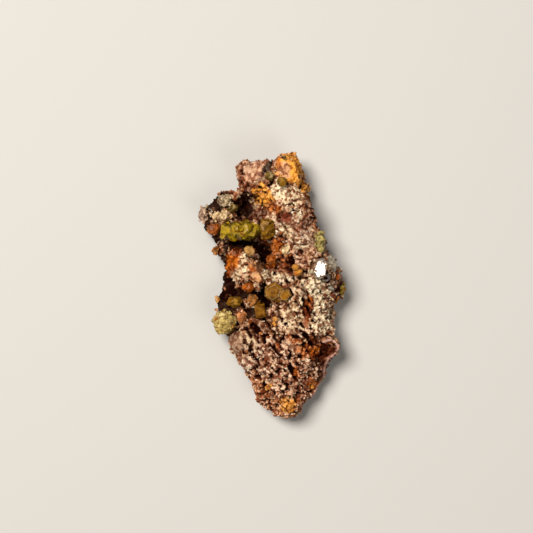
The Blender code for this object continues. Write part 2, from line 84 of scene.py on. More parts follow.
# The studio. Each lamp has a name, a place, a target, a width, and a power in watts.
FLOOR_HALF = 3000.0
PAPER = (0.46, 0.45, 0.435, 1.0)
PAPER_ROUGHNESS = 0.9
ROOM_LIGHT = (1.0, 0.97, 0.93, 1.0)
ROOM_STRENGTH = 0.06
LAMP_LIGHT = (1.0, 0.95, 0.88)
LAMPS = [
    ("key", (-330, 300, 960), (2, 0, 10), 440, 18.4),
    ("fill", (420, -460, 820), (2, 0, 10), 600, 3.0),
    ("glint", (115, -47, 440), (14, 5, 21.5), 7, 0.04),  # mirrored in a face of the clear crystal
]

# How the stone's surface is made.
CORE_SCALE = 0.86  # a crystal group's core of stone, as a share of the group
CORE_SINK = 0.30  # how far that core lies below the group, as a share of its height
CLOSING = 0.42  # gaps up to twice this are closed
COARSE_VOXEL = 0.42
FINE_VOXEL = 0.33
ABOVE = 60.0  # height from which a place on the stone is sought
EDGE_HEIGHT = 7.0  # height at which a crystal that misses the stone is set against its side
WORN_EDGE = 0.22  # width taken off a crystal's edges
FLAT_ANGLE = math.radians(2)  # faces that meet at less are one flat face
SHARP_ANGLE = math.radians(20)  # edges sharper than this are worn
STAIN_FADE = 0.75  # how much of a stain is lost low on a steep flank
EVEN_OUT = 5  # rounds of smoothing that take the solid's facets away
MERGE = 0.001  # corners closer than this are one
RELIEF_FOOT = 1.2  # height over which the relief fades out above the resting face
DRUSE_FOOT = 0.6  # height below which no druse grows
OPEN_REACH = 4.0  # how far around a place its openness is felt for
OPEN_RAYS = 16
OPEN_LIFT = 0.08  # how far above the surface they start

# The relief. Lumps and pits are drawn out along a slant, from the upper left to the lower right.
SLANT = (2.1, 1.3, 1.4)  # how far: along the slant, across it and upwards
PIT_SLANT = (0.62, 0.85)  # pits are drawn out further, by 1 over these, on the lower half and the upper
LUMP = 1.25
LUMP_HEIGHT = 0.65
LUMP_TABLE = 0.7  # where a lump is levelled off, in distances between its middle and its edge
LUMP_LEVEL = 0.3  # where it stands neither out nor in
GRAIN = 0.75
GRAIN_HEIGHT = 0.3
GRAIN_LEVEL = 0.25
CRUMB = 1.1
CRUMB_HEIGHT = 0.35
CALM_RELIEF = (0.4, 0.6)  # share of the lumps and crumbs on smooth ground, and what rough ground adds
CRACK_WIDTH = 0.22
CRACK_DEPTH = 0.5
CRACK_LENGTH = 2.6  # about how long a crack runs before it breaks off
CRACK_SHARE = (0.75, 2.2)  # how whole a crack is, and how much that varies along it
CRACK_DARKNESS = 0.8  # how much the level drops in a crack
MAZE = 0.82
PIT_START = -0.01  # value of the maze below which a pit starts
PIT_SLOPE = 0.2
PIT_DEPTH = 0.85

# Noises on the ground: how large the patches are, where the noise starts, and how many octaves it has.
NOISES = {
    "broad": (6.0, (0, 0, 0), 2),
    "middling": (3.4, (3, 41, 5), 2),
    "fine": (1.6, (31, 7, 2), 3),
    "wobble": (2.0, (5, 17, 9), 3),
}
GROUND_TONE = 1.25  # how large the patches of tone are

# Mottling of the bare ground, which is tan: colour, noise and its sign, range, and strength.
MOTTLING = [
    ("pink", "broad", 1, (-0.15, 0.35), 1.0),
    ("red brown", "broad", -1, (0.0, 0.5), 0.5),
    ("rust", "fine", 1, (0.15, 0.5), 0.7),
    ("cream", "fine", -1, (0.05, 0.4), 0.7),
]
BARE_COVER = 0.6  # how much druse grows where there is no stain

# Ranges over which one thing gives way to another on the stone.
STAIN_EDGE = (0.72, 1.12)  # shares of a stain's radii
GROOVE_EDGE = (0.35, 1.0)  # shares of a groove's width
RIM_EDGE = (0.4, 1.0)  # shares of half a rim's width
RIM_SLOPE = (0.0, 0.3)  # upward part of the normal, from a wall to ground that carries a rim
LEVEL_GROUND = (0.05, 0.35)  # upward part of the normal, from a steep flank to level ground
HIGH_GROUND = (4.0, 10.0)  # heights, from the foot of a flank to its top
LOWER_HALF = (-6.0, 4.0)  # distances below the middle, from the upper half to the rougher lower one
ROUGH_PATCH = (-0.3, 0.3)  # values of the middling noise, from a smooth patch to a rough one
THICK_DRUSE = (0.7, 1.0)  # cover with druse, from thin druse to thick, which evens the ground out
RUSTY_PIT = (0.45, 0.95)  # levels, from rusty pits to the crust
# Pits and cracks go near black between these levels: partly dark oxide, partly painted shade.
DARK_PIT = (0.15, 0.65)
# Painted shade: hollows that few rays get out of go near black.
HOLLOW_SHADE = (0.08, 0.55)  # openness, from a dark hollow to open ground
DRUSE_HOLLOW = (0.2, 0.55)
DRUSE_PIT = (0.4, 0.9)
TONE_SPREAD = (-0.45, 0.45)  # values of the noise, from a tone of 0 to one of 1
# Painted highlight: how far the raised rims are tinted pale pink.
RIM_HIGHLIGHT = 0.85

# How ragged an edge is made by the noise called wobble.
STAIN_WOBBLE = 0.55
CALM_WOBBLE = 0.4
GROOVE_WOBBLE = 0.5
RIM_WOBBLE = 0.3

# How rough the ground is, from 0 to 1.
HALF_ROUGH = (0.7, 0.3)  # on the upper half, and what the lower one adds
PATCH_ROUGH = (0.45, 0.75)  # share of that in a smooth patch, and what a rough one adds
DRUSE_EVENS = 0.4  # share that thick druse takes away

# Colours, as they look in daylight. The near black one also stands for painted shade, and the pale rim pink
# and the pale colour of crystal edges are painted highlights.
COLOURS = {
    "cream": "#DEC89C",
    "pale cream": "#E6D8B2",
    "pink": "#C6926C",
    "pale pink": "#CFA282",
    "dull pink": "#9C7E66",
    "light pink": "#DEB292",
    "peach": "#CE9868",
    # painted highlight along the stone's raised rims
    "rim highlight pink": "#D6AC9C",
    "tan": "#B0784E",
    "grey": "#A48E78",
    "rust": "#8E4418",
    "orange": "#CC7018",
    "golden": "#EAA43E",
    "red": "#8A4A34",
    "red brown": "#54200C",
    "rust brown": "#743A1C",
    # the stone's dark oxide, and painted shade in hollows, pits, gaps and the dark rows below
    "dark": "#180301",
    "plum": "#6B4032",
    "olive": "#7A6420",
    "pale crust": "#EBD4B0",
    "shaded crust": "#8A4C2C",
    "mottled crust": "#96603F",
    "pale grain": "#FCF4DE",
    "rusty grain": "#6C2E12",
    "cloudy grain": "#CCA484",
    # painted highlight on the crystals' worn edges
    "edge highlight": "#E8D2A0",
}

# Stains on the stone, and, in the rows coloured dark, painted shade over the stone's dark oxide in hollows,
# gaps, undersides and ledges: name, middle (x, y), radii, turn in degrees, colour, strength, cover with
# druse.
STAINS_AND_SHADE = [
    ("upper left block", (-5.6, 34.3), (5.4, 4.4), 0, "pale pink", 0.85, 0.35),
    ("block's left edge", (-9.6, 32.6), (1.2, 4.4), 0, "rust", 0.6, 0.4),
    ("block's brown fleck", (-3.2, 31.6), (1.4, 2.0), 0, "plum", 0.5, 0.4),
    ("block's left fleck", (-7.6, 35.6), (1.6, 1.2), 0, "plum", 0.4, 0.4),
    ("under the block", (-7.4, 28.6), (2.2, 2.0), 0, "plum", 0.9, 0.2),
    ("top cleft", (-1.4, 35.2), (1.3, 2.8), -28, "dark", 0.95, 0.1),
    ("golden knob", (5.0, 34.8), (4.2, 6.2), 10, "golden", 0.97, 0.06),
    ("knob's pale middle", (3.4, 34.2), (1.9, 2.6), 10, "pale pink", 0.75, 0.1),
    ("knob's shoulder", (9.4, 29.2), (2.6, 3.6), 20, "golden", 0.9, 0.15),
    ("knob's left side", (1.6, 37.0), (1.0, 1.8), 0, "orange", 0.7, 0.1),
    ("top druse", (3.0, 28.2), (5.4, 3.0), -8, "pale cream", 0.95, 1.0),
    ("top druse, right", (6.8, 25.4), (3.4, 3.0), 0, "cream", 0.8, 0.9),
    ("orange streak", (-2.9, 26.6), (2.9, 3.6), 20, "golden", 0.95, 0.1),
    ("orange streak's foot", (-0.6, 23.0), (1.6, 1.6), 0, "orange", 0.9, 0.2),
    ("orange fleck", (1.6, 22.6), (1.5, 1.3), 0, "orange", 0.9, 0.2),
    ("upper left recess", (-8.6, 23.6), (3.2, 4.6), 20, "dark", 0.97, 0.0),
    ("recess rim", (-4.0, 21.6), (3.0, 2.0), 0, "red brown", 0.9, 0.2),
    ("spine's right side", (10.6, 23.4), (1.6, 4.6), 14, "red brown", 0.7, 0.3),
    ("upper spine", (6.4, 20.4), (3.4, 4.2), 10, "pink", 0.5, 0.9),
    ("spine ground", (5.4, 16.6), (5.0, 6.0), 12, "plum", 0.45, 0.75),
    ("spine druse", (3.6, 15.6), (3.4, 2.4), 0, "cream", 0.8, 0.9),
    ("spine, right", (9.6, 15.2), (3.6, 4.8), 15, "grey", 0.7, 0.9),
    ("cream streak", (7.0, 22.4), (1.5, 3.4), 24, "pale cream", 0.85, 1.0),
    ("plum patch", (9.6, 18.4), (1.8, 2.2), 0, "plum", 0.75, 0.35),
    ("rust patch", (7.4, 16.8), (1.4, 1.6), 0, "rust", 0.7, 0.3),
    ("olive patch", (3.8, 17.4), (1.0, 1.1), 0, "olive", 0.6, 0.3),
    ("cream patch", (2.4, 15.8), (1.8, 1.6), 0, "pale cream", 0.85, 1.0),
    ("white patch", (8.6, 12.2), (2.6, 1.6), 0, "pale cream", 0.8, 1.0),
    ("nodule's shade", (3.2, 20.6), (2.3, 2.1), 0, "dark", 0.75, 0.0),
    ("red nodule", (4.2, 20.1), (1.6, 1.6), 0, "red", 0.95, 0.0),
    ("band's gap", (-4.2, 16.8), (0.8, 3.0), 0, "dark", 0.9, 0.0),
    ("rubble ground", (3.2, 8.0), (6.0, 5.6), 0, "red brown", 0.45, 0.55),
    ("beside the band", (1.2, 13.0), (2.6, 2.6), 0, "rust", 0.9, 0.12),
    ("beside the band, orange", (0.6, 11.6), (1.3, 1.9), 0, "orange", 0.8, 0.1),
    ("amber ground", (2.6, 10.4), (3.0, 2.8), 0, "orange", 0.75, 0.2),
    ("under the band", (-8.6, 11.6), (7.6, 2.1), -4, "dark", 0.97, 0.0),
    ("right channel", (-1.9, 8.6), (2.3, 5.2), 12, "dark", 0.99, 0.0),
    ("left recess", (-14.6, 2.8), (3.7, 7.4), 6, "dark", 0.97, 0.0),
    ("far left ledge", (-19.0, 14.0), (3.6, 7.0), 0, "dark", 0.97, 0.03),
    ("upper left ledge", (-16.4, 25.6), (5.0, 3.6), 0, "dark", 0.97, 0.03),
    ("block's left face", (-11.8, 7.0), (2.3, 3.8), -20, "orange", 0.98, 0.05),
    ("block's lower left", (-12.4, 4.4), (1.4, 1.8), -20, "rust", 0.9, 0.05),
    ("block's upper corner", (-10.8, 10.0), (2.0, 1.4), 0, "rust", 0.9, 0.3),
    ("block druse", (-8.2, 6.8), (1.9, 2.8), -20, "cream", 0.95, 1.0),
    ("block lump", (-5.2, 5.6), (2.5, 2.1), 0, "peach", 0.95, 0.03),
    ("block lump, orange side", (-6.0, 4.6), (1.3, 1.2), 0, "orange", 0.7, 0.1),
    ("lower block lump", (-4.3, 2.6), (2.5, 2.3), 0, "peach", 0.9, 0.03),
    ("block crust", (-1.7, 3.4), (1.7, 1.6), 0, "pale cream", 0.95, 1.0),
    ("block foot", (-10.6, 2.9), (1.9, 1.9), 0, "cream", 0.7, 0.6),
    ("crust above the pair", (1.8, 2.6), (3.6, 1.5), -6, "pale cream", 0.9, 1.0),
    ("beside the pair", (-2.3, -3.4), (2.1, 4.0), 18, "dark", 0.99, 0.0),
    ("spine groove", (3.6, 6.4), (1.5, 4.0), 32, "red brown", 0.85, 0.2),
    ("spine rubble", (1.8, 5.4), (3.0, 1.8), 0, "rust", 0.85, 0.25),
    ("around the golden prism", (8.6, 8.0), (3.2, 3.2), 0, "pale pink", 0.6, 0.8),
    ("shoulder", (12.2, 9.6), (2.2, 2.6), 0, "pink", 0.7, 0.7),
    ("right druse", (12.6, -3.0), (5.6, 7.4), 12, "pale cream", 0.9, 1.0),
    ("right druse, low", (14.6, -10.2), (4.2, 4.8), 0, "pale cream", 0.85, 1.0),
    ("right point", (18.6, 0.4), (2.6, 3.6), 30, "plum", 0.8, 0.3),
    ("rust strip", (10.6, -7.2), (1.7, 5.2), -8, "rust", 0.95, 0.08),
    ("strip's orange", (10.4, -5.0), (1.0, 2.4), -8, "orange", 0.7, 0.05),
    ("strip, red end", (9.2, -2.2), (1.2, 2.6), 10, "red brown", 0.8, 0.2),
    ("middle druse", (5.2, -9.8), (3.6, 4.8), 8, "cream", 0.8, 1.0),
    ("orange bead's ground", (0.4, -9.8), (1.7, 2.0), 0, "red brown", 0.9, 0.1),
    ("olive crust", (-0.8, -12.6), (2.2, 2.2), 0, "olive", 0.4, 0.5),
    ("neck", (-6.8, -8.4), (2.8, 2.0), 0, "dark", 0.97, 0.0),
    ("under the amber crystals", (-9.8, -2.2), (5.2, 1.9), 0, "dark", 0.96, 0.0),
    ("around the olive crystals", (-14.6, -6.0), (3.8, 3.8), 0, "dark", 0.96, 0.0),
    ("below the rust crystals", (-4.4, -12.6), (3.0, 2.6), 40, "red brown", 0.75, 0.3),
    ("pink cheek", (-10.8, -17.2), (2.2, 3.8), 12, "dull pink", 0.97, 0.0),
    ("beside the cheek", (-6.8, -16.6), (2.2, 3.6), 40, "cream", 0.55, 0.8),
    ("lower body", (3.0, -27.0), (13.0, 14.0), 0, "light pink", 0.6, 0.9),
    ("lower left ground", (-5.0, -22.6), (4.4, 7.0), 18, "plum", 0.45, 0.8),
    ("right lobe", (17.4, -18.6), (2.6, 3.0), 0, "red brown", 0.9, 0.1),
    ("orange in the lobe", (16.4, -17.4), (1.2, 1.0), -20, "orange", 0.7, 0.1),
    ("pocket", (14.2, -19.6), (3.9, 4.4), -24, "red brown", 0.95, 0.1),
    ("pocket's shade", (14.4, -20.8), (1.8, 3.4), -24, "dark", 0.7, 0.0),
    ("pocket's end", (16.2, -25.0), (1.8, 4.2), -20, "red brown", 0.8, 0.1),
    ("lower rust", (10.2, -18.6), (4.0, 2.8), 0, "orange", 0.8, 0.2),
    ("lower rust, dark", (12.4, -16.4), (2.4, 1.4), 20, "red brown", 0.8, 0.1),
    ("lower druse", (1.6, -20.4), (5.4, 5.0), 0, "pale pink", 0.6, 0.95),
    ("brown patch", (6.8, -26.4), (1.5, 2.5), 25, "orange", 0.85, 0.08),
    ("brown patch's side", (5.4, -24.8), (0.9, 1.6), 20, "dark", 0.8, 0.0),
    ("lower right stain", (11.8, -30.0), (2.6, 2.4), 30, "orange", 0.95, 0.06),
    ("lower left stain", (-4.2, -29.6), (2.4, 3.6), 20, "orange", 0.6, 0.4),
    ("lower right ground", (9.0, -31.4), (4.6, 5.2), 30, "rust", 0.5, 0.6),
    ("foot ground", (2.0, -36.2), (7.4, 3.8), 0, "orange", 0.5, 0.5),
    ("body fleck", (-2.6, -22.4), (1.8, 1.4), 30, "rust", 0.7, 0.3),
    ("body fleck, right", (5.6, -15.6), (1.8, 1.3), -20, "orange", 0.6, 0.3),
    ("body fleck, middle", (1.4, -17.6), (1.2, 1.0), 0, "orange", 0.7, 0.2),
    ("body fleck, low", (1.8, -27.8), (2.2, 1.4), 20, "rust", 0.6, 0.3),
    ("foot stain", (5.0, -35.8), (2.6, 2.8), 30, "golden", 0.9, 0.2),
    ("foot's red side", (8.6, -35.4), (1.8, 2.4), 30, "rust", 0.7, 0.4),
    ("left foot patch", (-1.6, -30.4), (2.0, 1.3), 10, "golden", 0.8, 0.2),
    ("left foot", (-2.4, -34.4), (3.0, 3.0), 0, "rust", 0.6, 0.6),
]

# Smooth stretches of the stone: name, middle (x, y), radii, turn in degrees, and how far they are smoothed.
CALM = [
    ("upper left block", (-4.8, 34.0), (5.2, 4.6), 0, 0.85),
    ("golden knob", (5.0, 34.4), (4.4, 6.2), 10, 0.92),
    ("top druse", (2.8, 28.2), (5.4, 3.2), -8, 0.6),
    ("pink cheek", (-10.8, -17.2), (2.2, 3.8), 12, 0.95),
    ("block's left face", (-11.8, 7.0), (2.2, 3.6), -20, 0.9),
    ("block lumps", (-5.0, 4.2), (2.6, 3.4), 20, 0.92),
    ("upper spine", (6.4, 20.0), (4.2, 5.0), 12, 0.2),
    ("spine", (9.4, 13.6), (4.2, 5.4), 15, 0.35),
    ("right druse", (13.0, -2.0), (5.0, 7.0), 12, 0.35),
    ("shoulder", (12.2, 9.6), (3.0, 4.0), 0, 0.4),
    ("red nodule", (4.2, 20.1), (1.8, 1.8), 0, 0.95),
]

# Long grooves in the stone: name, one end (x, y), the other end, width and depth.
GROOVES = [
    ("neck groove", (-6.4, -10.6), (-2.6, -16.4), 0.9, 1.5),
    ("second groove", (-2.8, -9.6), (0.0, -14.6), 0.8, 1.3),
    ("cross groove", (1.7, -5.4), (-2.8, -10.8), 0.55, 1.0),
    ("wing groove", (-8.2, -12.6), (-6.4, -15.4), 0.7, 1.0),
    ("body groove", (-1.0, -17.2), (2.8, -21.0), 0.8, 1.2),
    ("left groove", (-6.8, -19.4), (-4.0, -23.8), 0.8, 1.1),
    ("lower left groove", (-4.8, -26.0), (-2.4, -29.6), 0.7, 1.0),
    ("pit's groove", (5.2, -24.2), (7.0, -27.4), 0.8, 1.2),
    ("right groove", (9.4, -14.4), (12.0, -18.2), 0.8, 1.1),
    ("centre groove", (5.0, 8.0), (7.8, 2.6), 0.9, 1.8),
    ("spine groove", (2.6, 8.8), (5.0, 4.2), 0.7, 1.2),
    ("strip groove", (9.0, -3.8), (11.4, -8.6), 0.7, 1.1),
    ("middle groove", (3.4, 1.4), (5.8, -2.6), 0.5, 0.8),
]

# Smooth raised rims of the stone, tinted pale pink as a painted highlight: name, the places (x, y) each runs
# through, half its width and its height.
RIDGES = [
    ("lobe's rim", ((14.8, -16.5), (17.7, -16.0), (19.7, -18.0), (18.9, -20.1), (16.7, -21.9)), 0.5, 0.4),
    ("pocket's rim", ((16.7, -21.9), (15.4, -25.1), (15.7, -28.4), (14.1, -30.2)), 0.45, 0.3),
    ("lower right rim", ((14.1, -30.2), (12.3, -32.9), (9.0, -37.8)), 0.4, 0.2),
]

# How tones change the stone and its druse: a tone, a second tone, and the shares of the change at the two.
PALE_CRUST = (0.5, 0.95, 0.0, 0.6)
SHADED_CRUST = (0.5, 0.15, 0.0, 0.7)
MOTTLED_CRUST = (0.2, 0.8, 0.0, 0.5)
PALE_GRAIN = (0.44, 0.8, 0.0, 0.88)
RUSTY_GRAIN = (0.46, 0.22, 0.0, 0.95)
CLOUDY_GRAIN = (0.3, 0.7, 0.0, 0.5)
CRUST_GRAIN = 0.55
CRUST_ROUGHNESS = (0.2, 0.8, 0.95, 0.55)
CRUST_SPECULAR = 0.02
CRUST_DOME = (0.0, 0.6, 1.0, 0.0)  # a grain's middle and edge, and how far it stands out at the two
CRUST_DOME_HEIGHT = 0.12
CLOUD_IN_GRAIN = 0.3
GRAIN_ROUGHNESS = (0.0, 1.0, 0.6, 0.28)
GRAIN_SPECULAR = 0.15
GRAIN_WAVE = 0.22
GRAIN_WAVE_HEIGHT = 0.05
GROUND_SHARE = 0.55  # how much of a grain's tone is its ground's; the rest is its own

# How light a face of a crystal is, from the deep colour at 0 to the pale one at 1: what each thing adds.
# What the facets add is partly chance and partly painted light, paler on faces that look up.
TONE_LIGHT = (-0.25, 0.25)
CLOUD_LIGHT = (0.05, 0.85)
# Painted light: faces that look up are paler than sides.
FACET_LIGHT = (-0.55, 0.5)
FACET_CHANCE = 0.45  # share of a face's own lightness that is chance; the rest is how far it faces up
CLOUD = 1.4
CLOUD_RANGE = (0.36, 0.64)  # values of the noise, from clear to cloudy
CRYSTAL_STAIN = 2.6
STAIN_RANGE = (0.56, 0.68, 0.0, 0.7)  # values of the noise, and the strength of the stain at the two
CRYSTAL_SHEEN = 0.8
SHEEN_RANGE = (0.3, 0.7)  # values of the noise, from glossy to dull
SHEEN_SPREAD = (0.6, 1.6)  # shares of the finish's roughness at the two
CRYSTAL_WAVE = 1.5
# Painted highlight: how far a crystal's worn edges are tinted pale.
EDGE_HIGHLIGHT_TINT = 0.75
ADAMITE_IOR = 1.72
CLEAR = "clear"
CLEAR_FACES = (0.5, 0.01)  # specular level, and the depth of the waves on a face
CLOUDY_FACES = (0.05, 0.12)

# Finishes of adamite: deep, pale and stain colours, transmission, roughness, absorption per millimetre.
FINISHES = {
    "yellow": ("#342202", "#A4861A", "#84500A", 0.15, 0.26, 0.20),
    "ball": ("#6A4A12", "#CAB26C", "#A0560E", 0.15, 0.34, 0.08),
    "golden olive": ("#3E2002", "#885A10", "#6E3C0A", 0.05, 0.28, 0.40),
    "olive": ("#3A2002", "#8A6216", "#7A3E10", 0.05, 0.36, 0.22),
    "pale olive": ("#5A4818", "#C0AE68", "#8E6A30", 0.25, 0.28, 0.10),
    "dark olive": ("#46340C", "#846A2A", "#5A3514", 0.25, 0.28, 0.22),
    "amber": ("#562002", "#9C5010", "#7A340A", 0.05, 0.40, 0.20),
    "golden": ("#A05C12", "#DE9C42", "#B05A14", 0.25, 0.28, 0.16),
    "brown": ("#5A2C0C", "#B4702E", "#D8A468", 0.20, 0.30, 0.16),
    "rust": ("#7A3410", "#C8824A", "#DEB088", 0.20, 0.30, 0.16),
    "cream": ("#6E3E18", "#E8CE9E", "#96501C", 0.10, 0.38, 0.05),
    "white": ("#4E2A1A", "#D2B296", "#5E3624", 0.10, 0.38, 0.05),
    "grey green": ("#3E2610", "#CAB28C", "#5E3418", 0.15, 0.36, 0.08),
    "beige": ("#704C20", "#BC8C4C", "#96561E", 0.20, 0.30, 0.10),
    "clear": ("#D8D2C4", "#F4F0E6", "#C8B496", 0.92, 0.05, 0.03),
    "smoky": ("#8A8070", "#D2C6B0", "#7E5A40", 0.60, 0.16, 0.06),
}

# Each crystal group: its finish, the sizes of the small crystals on it, and how many to a square millimetre.
GROUPS = {
    "adamite_band": ("yellow", (1.2, 2.2), 0.05),
    "amber_band_end": ("amber", (0.5, 1.0), 0.25),
    "olive_band_end": ("olive", (0.7, 1.4), 0.15),
    "cream_cluster": ("cream", (0.4, 0.9), 1.0),
    "grey_green_cluster": ("grey green", (0.4, 1.0), 0.7),
    "olive_cluster": ("dark olive", (0.5, 0.9), 0.3),
    "white_cluster": ("white", (0.4, 0.9), 0.7),
    "brown_sprig": ("brown", (0.4, 0.8), 0.5),
    "beige_crystals": ("beige", (0.5, 0.9), 0.1),
    "amber_crystals": ("amber", (0.5, 0.9), 0.25),
    "brown_cluster": ("brown", (0.4, 0.8), 0.7),
    "olive_crystals": ("olive", (0.5, 1.0), 0.3),
    "amber_chip": ("golden", (0.4, 0.7), 0.3),
    "rust_cluster": ("rust", (0.4, 0.9), 0.7),
    "centre_amber": ("amber", (0.5, 0.9), 0.3),
    "cream_yellow_cluster": ("cream", (0.4, 0.9), 0.5),
    "orange_bead": ("golden", (0.3, 0.5), 0.2),
    "edge_adamite": ("pale olive", (0.6, 1.1), 0.4),
    "glassy_edge": ("smoky", (0.5, 1.0), 0.5),
    "edge_tip": ("yellow", (0.4, 0.8), 0.4),
    "olive_bead": ("olive", (0.3, 0.6), 0.5),
    "brown_bead": ("dark olive", (0.3, 0.6), 0.5),
    "adamite_ball": ("ball", (0.6, 1.2), 0.8),
    "adamite_pair": ("golden olive", (0.3, 0.6), 0.0),
    "yellow_prism": ("golden olive", (0.3, 0.6), 0.0),
    "golden_prism": ("golden", (0.3, 0.6), 0.1),
    "clear_crystal": ("clear", (0.3, 0.6), 0.0),
}

# Layers of druse: name, shapes, how many to a square millimetre, least spacing, sizes, seed and finish.
DRUSE = [
    ("fine_druse", "grains", 7.5, 0.22, (0.30, 0.54), 21, "druse"),
    ("sugar_druse", "grains", 6.0, 0.2, (0.2, 0.36), 20, "druse"),
    ("coarse_druse", "grains", 0.16, 1.3, (0.75, 1.2), 22, "druse"),
    ("prism_druse", "prisms", 0.6, 0.6, (0.4, 0.75), 23, "druse"),
    ("rust_druse", "prisms", 0.4, 0.8, (0.4, 0.85), 24, "rust"),
]
DRUSE_LEAN = 0.7  # how far a crystal may lean from the surface's normal
DRUSE_SINK = -0.26  # as a share of a grain's size
CLUSTER_LEAN = 0.5
CLUSTER_SINK = -0.5
CLUSTER_SPACING = 0.6  # as a share of the smallest crystals' size

# A tuft: one crystal in the middle and the others round it. Sizes are shares of the tuft's width.
TUFT_COUNT = 4
TUFT_SIZES = (0.42, 0.66)
TUFT_RADIUS = 0.3
TUFT_LEAN = (0.2, 0.8)  # of the middle crystal, and of the others
TUFT_SINK = 0.35  # as a share of a crystal's size

# Small crystals that stand alone on the stone: name, place (x, y), how wide the tuft is, and its finish.
TUFTS = [
    ("far bead", (-20.3, 24.3), 1.5, "grey green"),
    ("dark glassy bead", (-18.5, 23.0), 1.6, "smoky"),
    ("white fleck", (-18.5, 21.0), 0.9, "cream"),
    ("fleck above the cluster", (-10.2, 27.0), 1.3, "grey green"),
    ("purple knob", (-16.6, 27.8), 1.6, "rust"),
    ("fleck in the recess", (-9.4, 21.9), 1.1, "olive"),
    ("white point", (-13.0, 11.0), 0.5, "cream"),
    ("pink tip", (-16.2, 13.2), 1.1, "white"),
    ("recess fleck", (-14.6, -0.8), 1.2, "rust"),
    ("red bead", (-17.6, -7.8), 1.3, "rust"),
    ("bead under the ball", (-14.0, -15.2), 1.2, "rust"),
    ("orange crystals", (1.8, 10.9), 2.4, "amber"),
    ("bridge crystals", (-1.6, 5.4), 2.2, "amber"),
    ("bridge's right end", (3.4, 7.6), 1.8, "rust"),
    ("pink facet", (8.0, 2.6), 2.2, "white"),
    ("brown point", (19.0, 2.4), 1.9, "amber"),
    ("smoky point", (17.0, 0.3), 2.4, "smoky"),
    ("brown lump", (19.8, -3.8), 1.9, "brown"),
    ("cream knob", (-0.8, 13.7), 1.9, "cream"),
    ("cream knob's side", (0.9, 14.4), 1.5, "cream"),
    ("white crystal", (3.2, 13.0), 1.6, "white"),
    ("orange crystal", (0.3, -11.2), 1.9, "golden"),
    ("strip crystals", (9.8, -5.4), 1.7, "amber"),
    ("strip's lower crystals", (11.0, -10.0), 1.7, "rust"),
    ("lower crystals", (9.6, -20.2), 1.8, "amber"),
    ("crystals by the pit", (7.0, -26.0), 2.2, "amber"),
    ("foot crystals", (5.4, -35.6), 2.2, "golden"),
    ("right foot crystals", (11.4, -29.8), 1.9, "golden"),
    ("left foot crystals", (-1.6, -30.6), 1.6, "golden"),
    ("neck crystals", (-6.4, -10.6), 1.8, "amber"),
    ("wing crystals", (-3.6, -14.4), 1.5, "rust"),
    ("knob's crystals", (7.6, 31.4), 1.8, "golden"),
    ("knob's top crystals", (4.0, 37.4), 1.8, "dark olive"),
    ("streak crystals", (-2.4, 26.0), 2.2, "golden"),
]


def linear(colour):
    """The linear colour of a hex one, or of a name in COLOURS."""
    colour = COLOURS.get(colour, colour)
    parts = [int(colour[i : i + 2], 16) / 255 for i in (1, 3, 5)]
    return [part / 12.92 if part <= 0.04045 else ((part + 0.055) / 1.055) ** 2.4 for part in parts]


def new_object(name, shape):
    """An object that holds the bmesh shape, which is freed."""
    mesh = bpy.data.meshes.new(name)
    shape.to_mesh(mesh)
    shape.free()
    made = bpy.data.objects.new(name, mesh)
    bpy.context.scene.collection.objects.link(made)
    return made


def applied(obj):
    """Turns obj's modifiers into its mesh."""
    graph = bpy.context.evaluated_depsgraph_get()
    mesh = bpy.data.meshes.new_from_object(obj.evaluated_get(graph))
    obj.modifiers.clear()
    obj.data = mesh
    return obj


def merge_corners(shape):
    """Makes one corner of those that lie on each other."""
    bmesh.ops.remove_doubles(shape, verts=shape.verts[:], dist=MERGE * MM)


def solid_copy(node):
    """A bmesh of a node, with the corners of its triangles merged."""
    shape = bmesh.new()
    shape.from_mesh(frame["nodes"][node].data)
    merge_corners(shape)
    return shape


# ---- the stone


def skin(obj, voxel):
    """Gives obj one even skin, with faces about a voxel wide."""
    cover = obj.modifiers.new("skin", "REMESH")
    cover.mode = "VOXEL"
    cover.voxel_size = voxel * MM
    return applied(obj)


def rows_of(source, field):
    """A field of three numbers of everything in source, one row each."""
    values = np.empty(len(source) * 3, np.float32)
    source.foreach_get(field, values)
    return values.reshape(-1, 3).astype(float)


def points_of(mesh):
    return rows_of(mesh.vertices, "co")


def normals_of(mesh):
    return rows_of(mesh.vertex_normals, "vector")


def move_points(mesh, places):
    """Puts the mesh's points at places, one row each."""
    mesh.vertices.foreach_set("co", places.astype(np.float32).ravel())
    mesh.update()


def swell(obj, out):
    """Moves the surface out along its normals, or in."""
    move_points(obj.data, points_of(obj.data) + normals_of(obj.data) * out * MM)


def stone_blank():
    """The stone with a core of its own inside each crystal group, and no sockets."""
    shape = solid_copy(STONE)
    for name, node in frame["nodes"].items():
        if name != STONE:
            low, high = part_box(name)
            middle = (low + high) / 2
            sunk = middle - UP * CORE_SINK * (high.z - low.z)
            shrunk = Matrix.Scale(CORE_SCALE, 4) @ Matrix.Translation(-middle)
            core = node.data.copy()
            core.transform(Matrix.Translation(sunk) @ shrunk)
            shape.from_mesh(core)
            bpy.data.meshes.remove(core)
    merge_corners(shape)
    made = new_object("stone", shape)
    skin(made, COARSE_VOXEL)
    swell(made, CLOSING)
    skin(made, COARSE_VOXEL)
    swell(made, -CLOSING)
    skin(made, FINE_VOXEL)
    even = made.modifiers.new("even", "SMOOTH")
    even.iterations = EVEN_OUT
    return applied(made)


def smoothstep(low, high, value):
    """0 up to low, 1 from high on, and a smooth rise between them."""
    share = np.clip((value - low) / (high - low), 0, 1)
    return share * share * (3 - 2 * share)


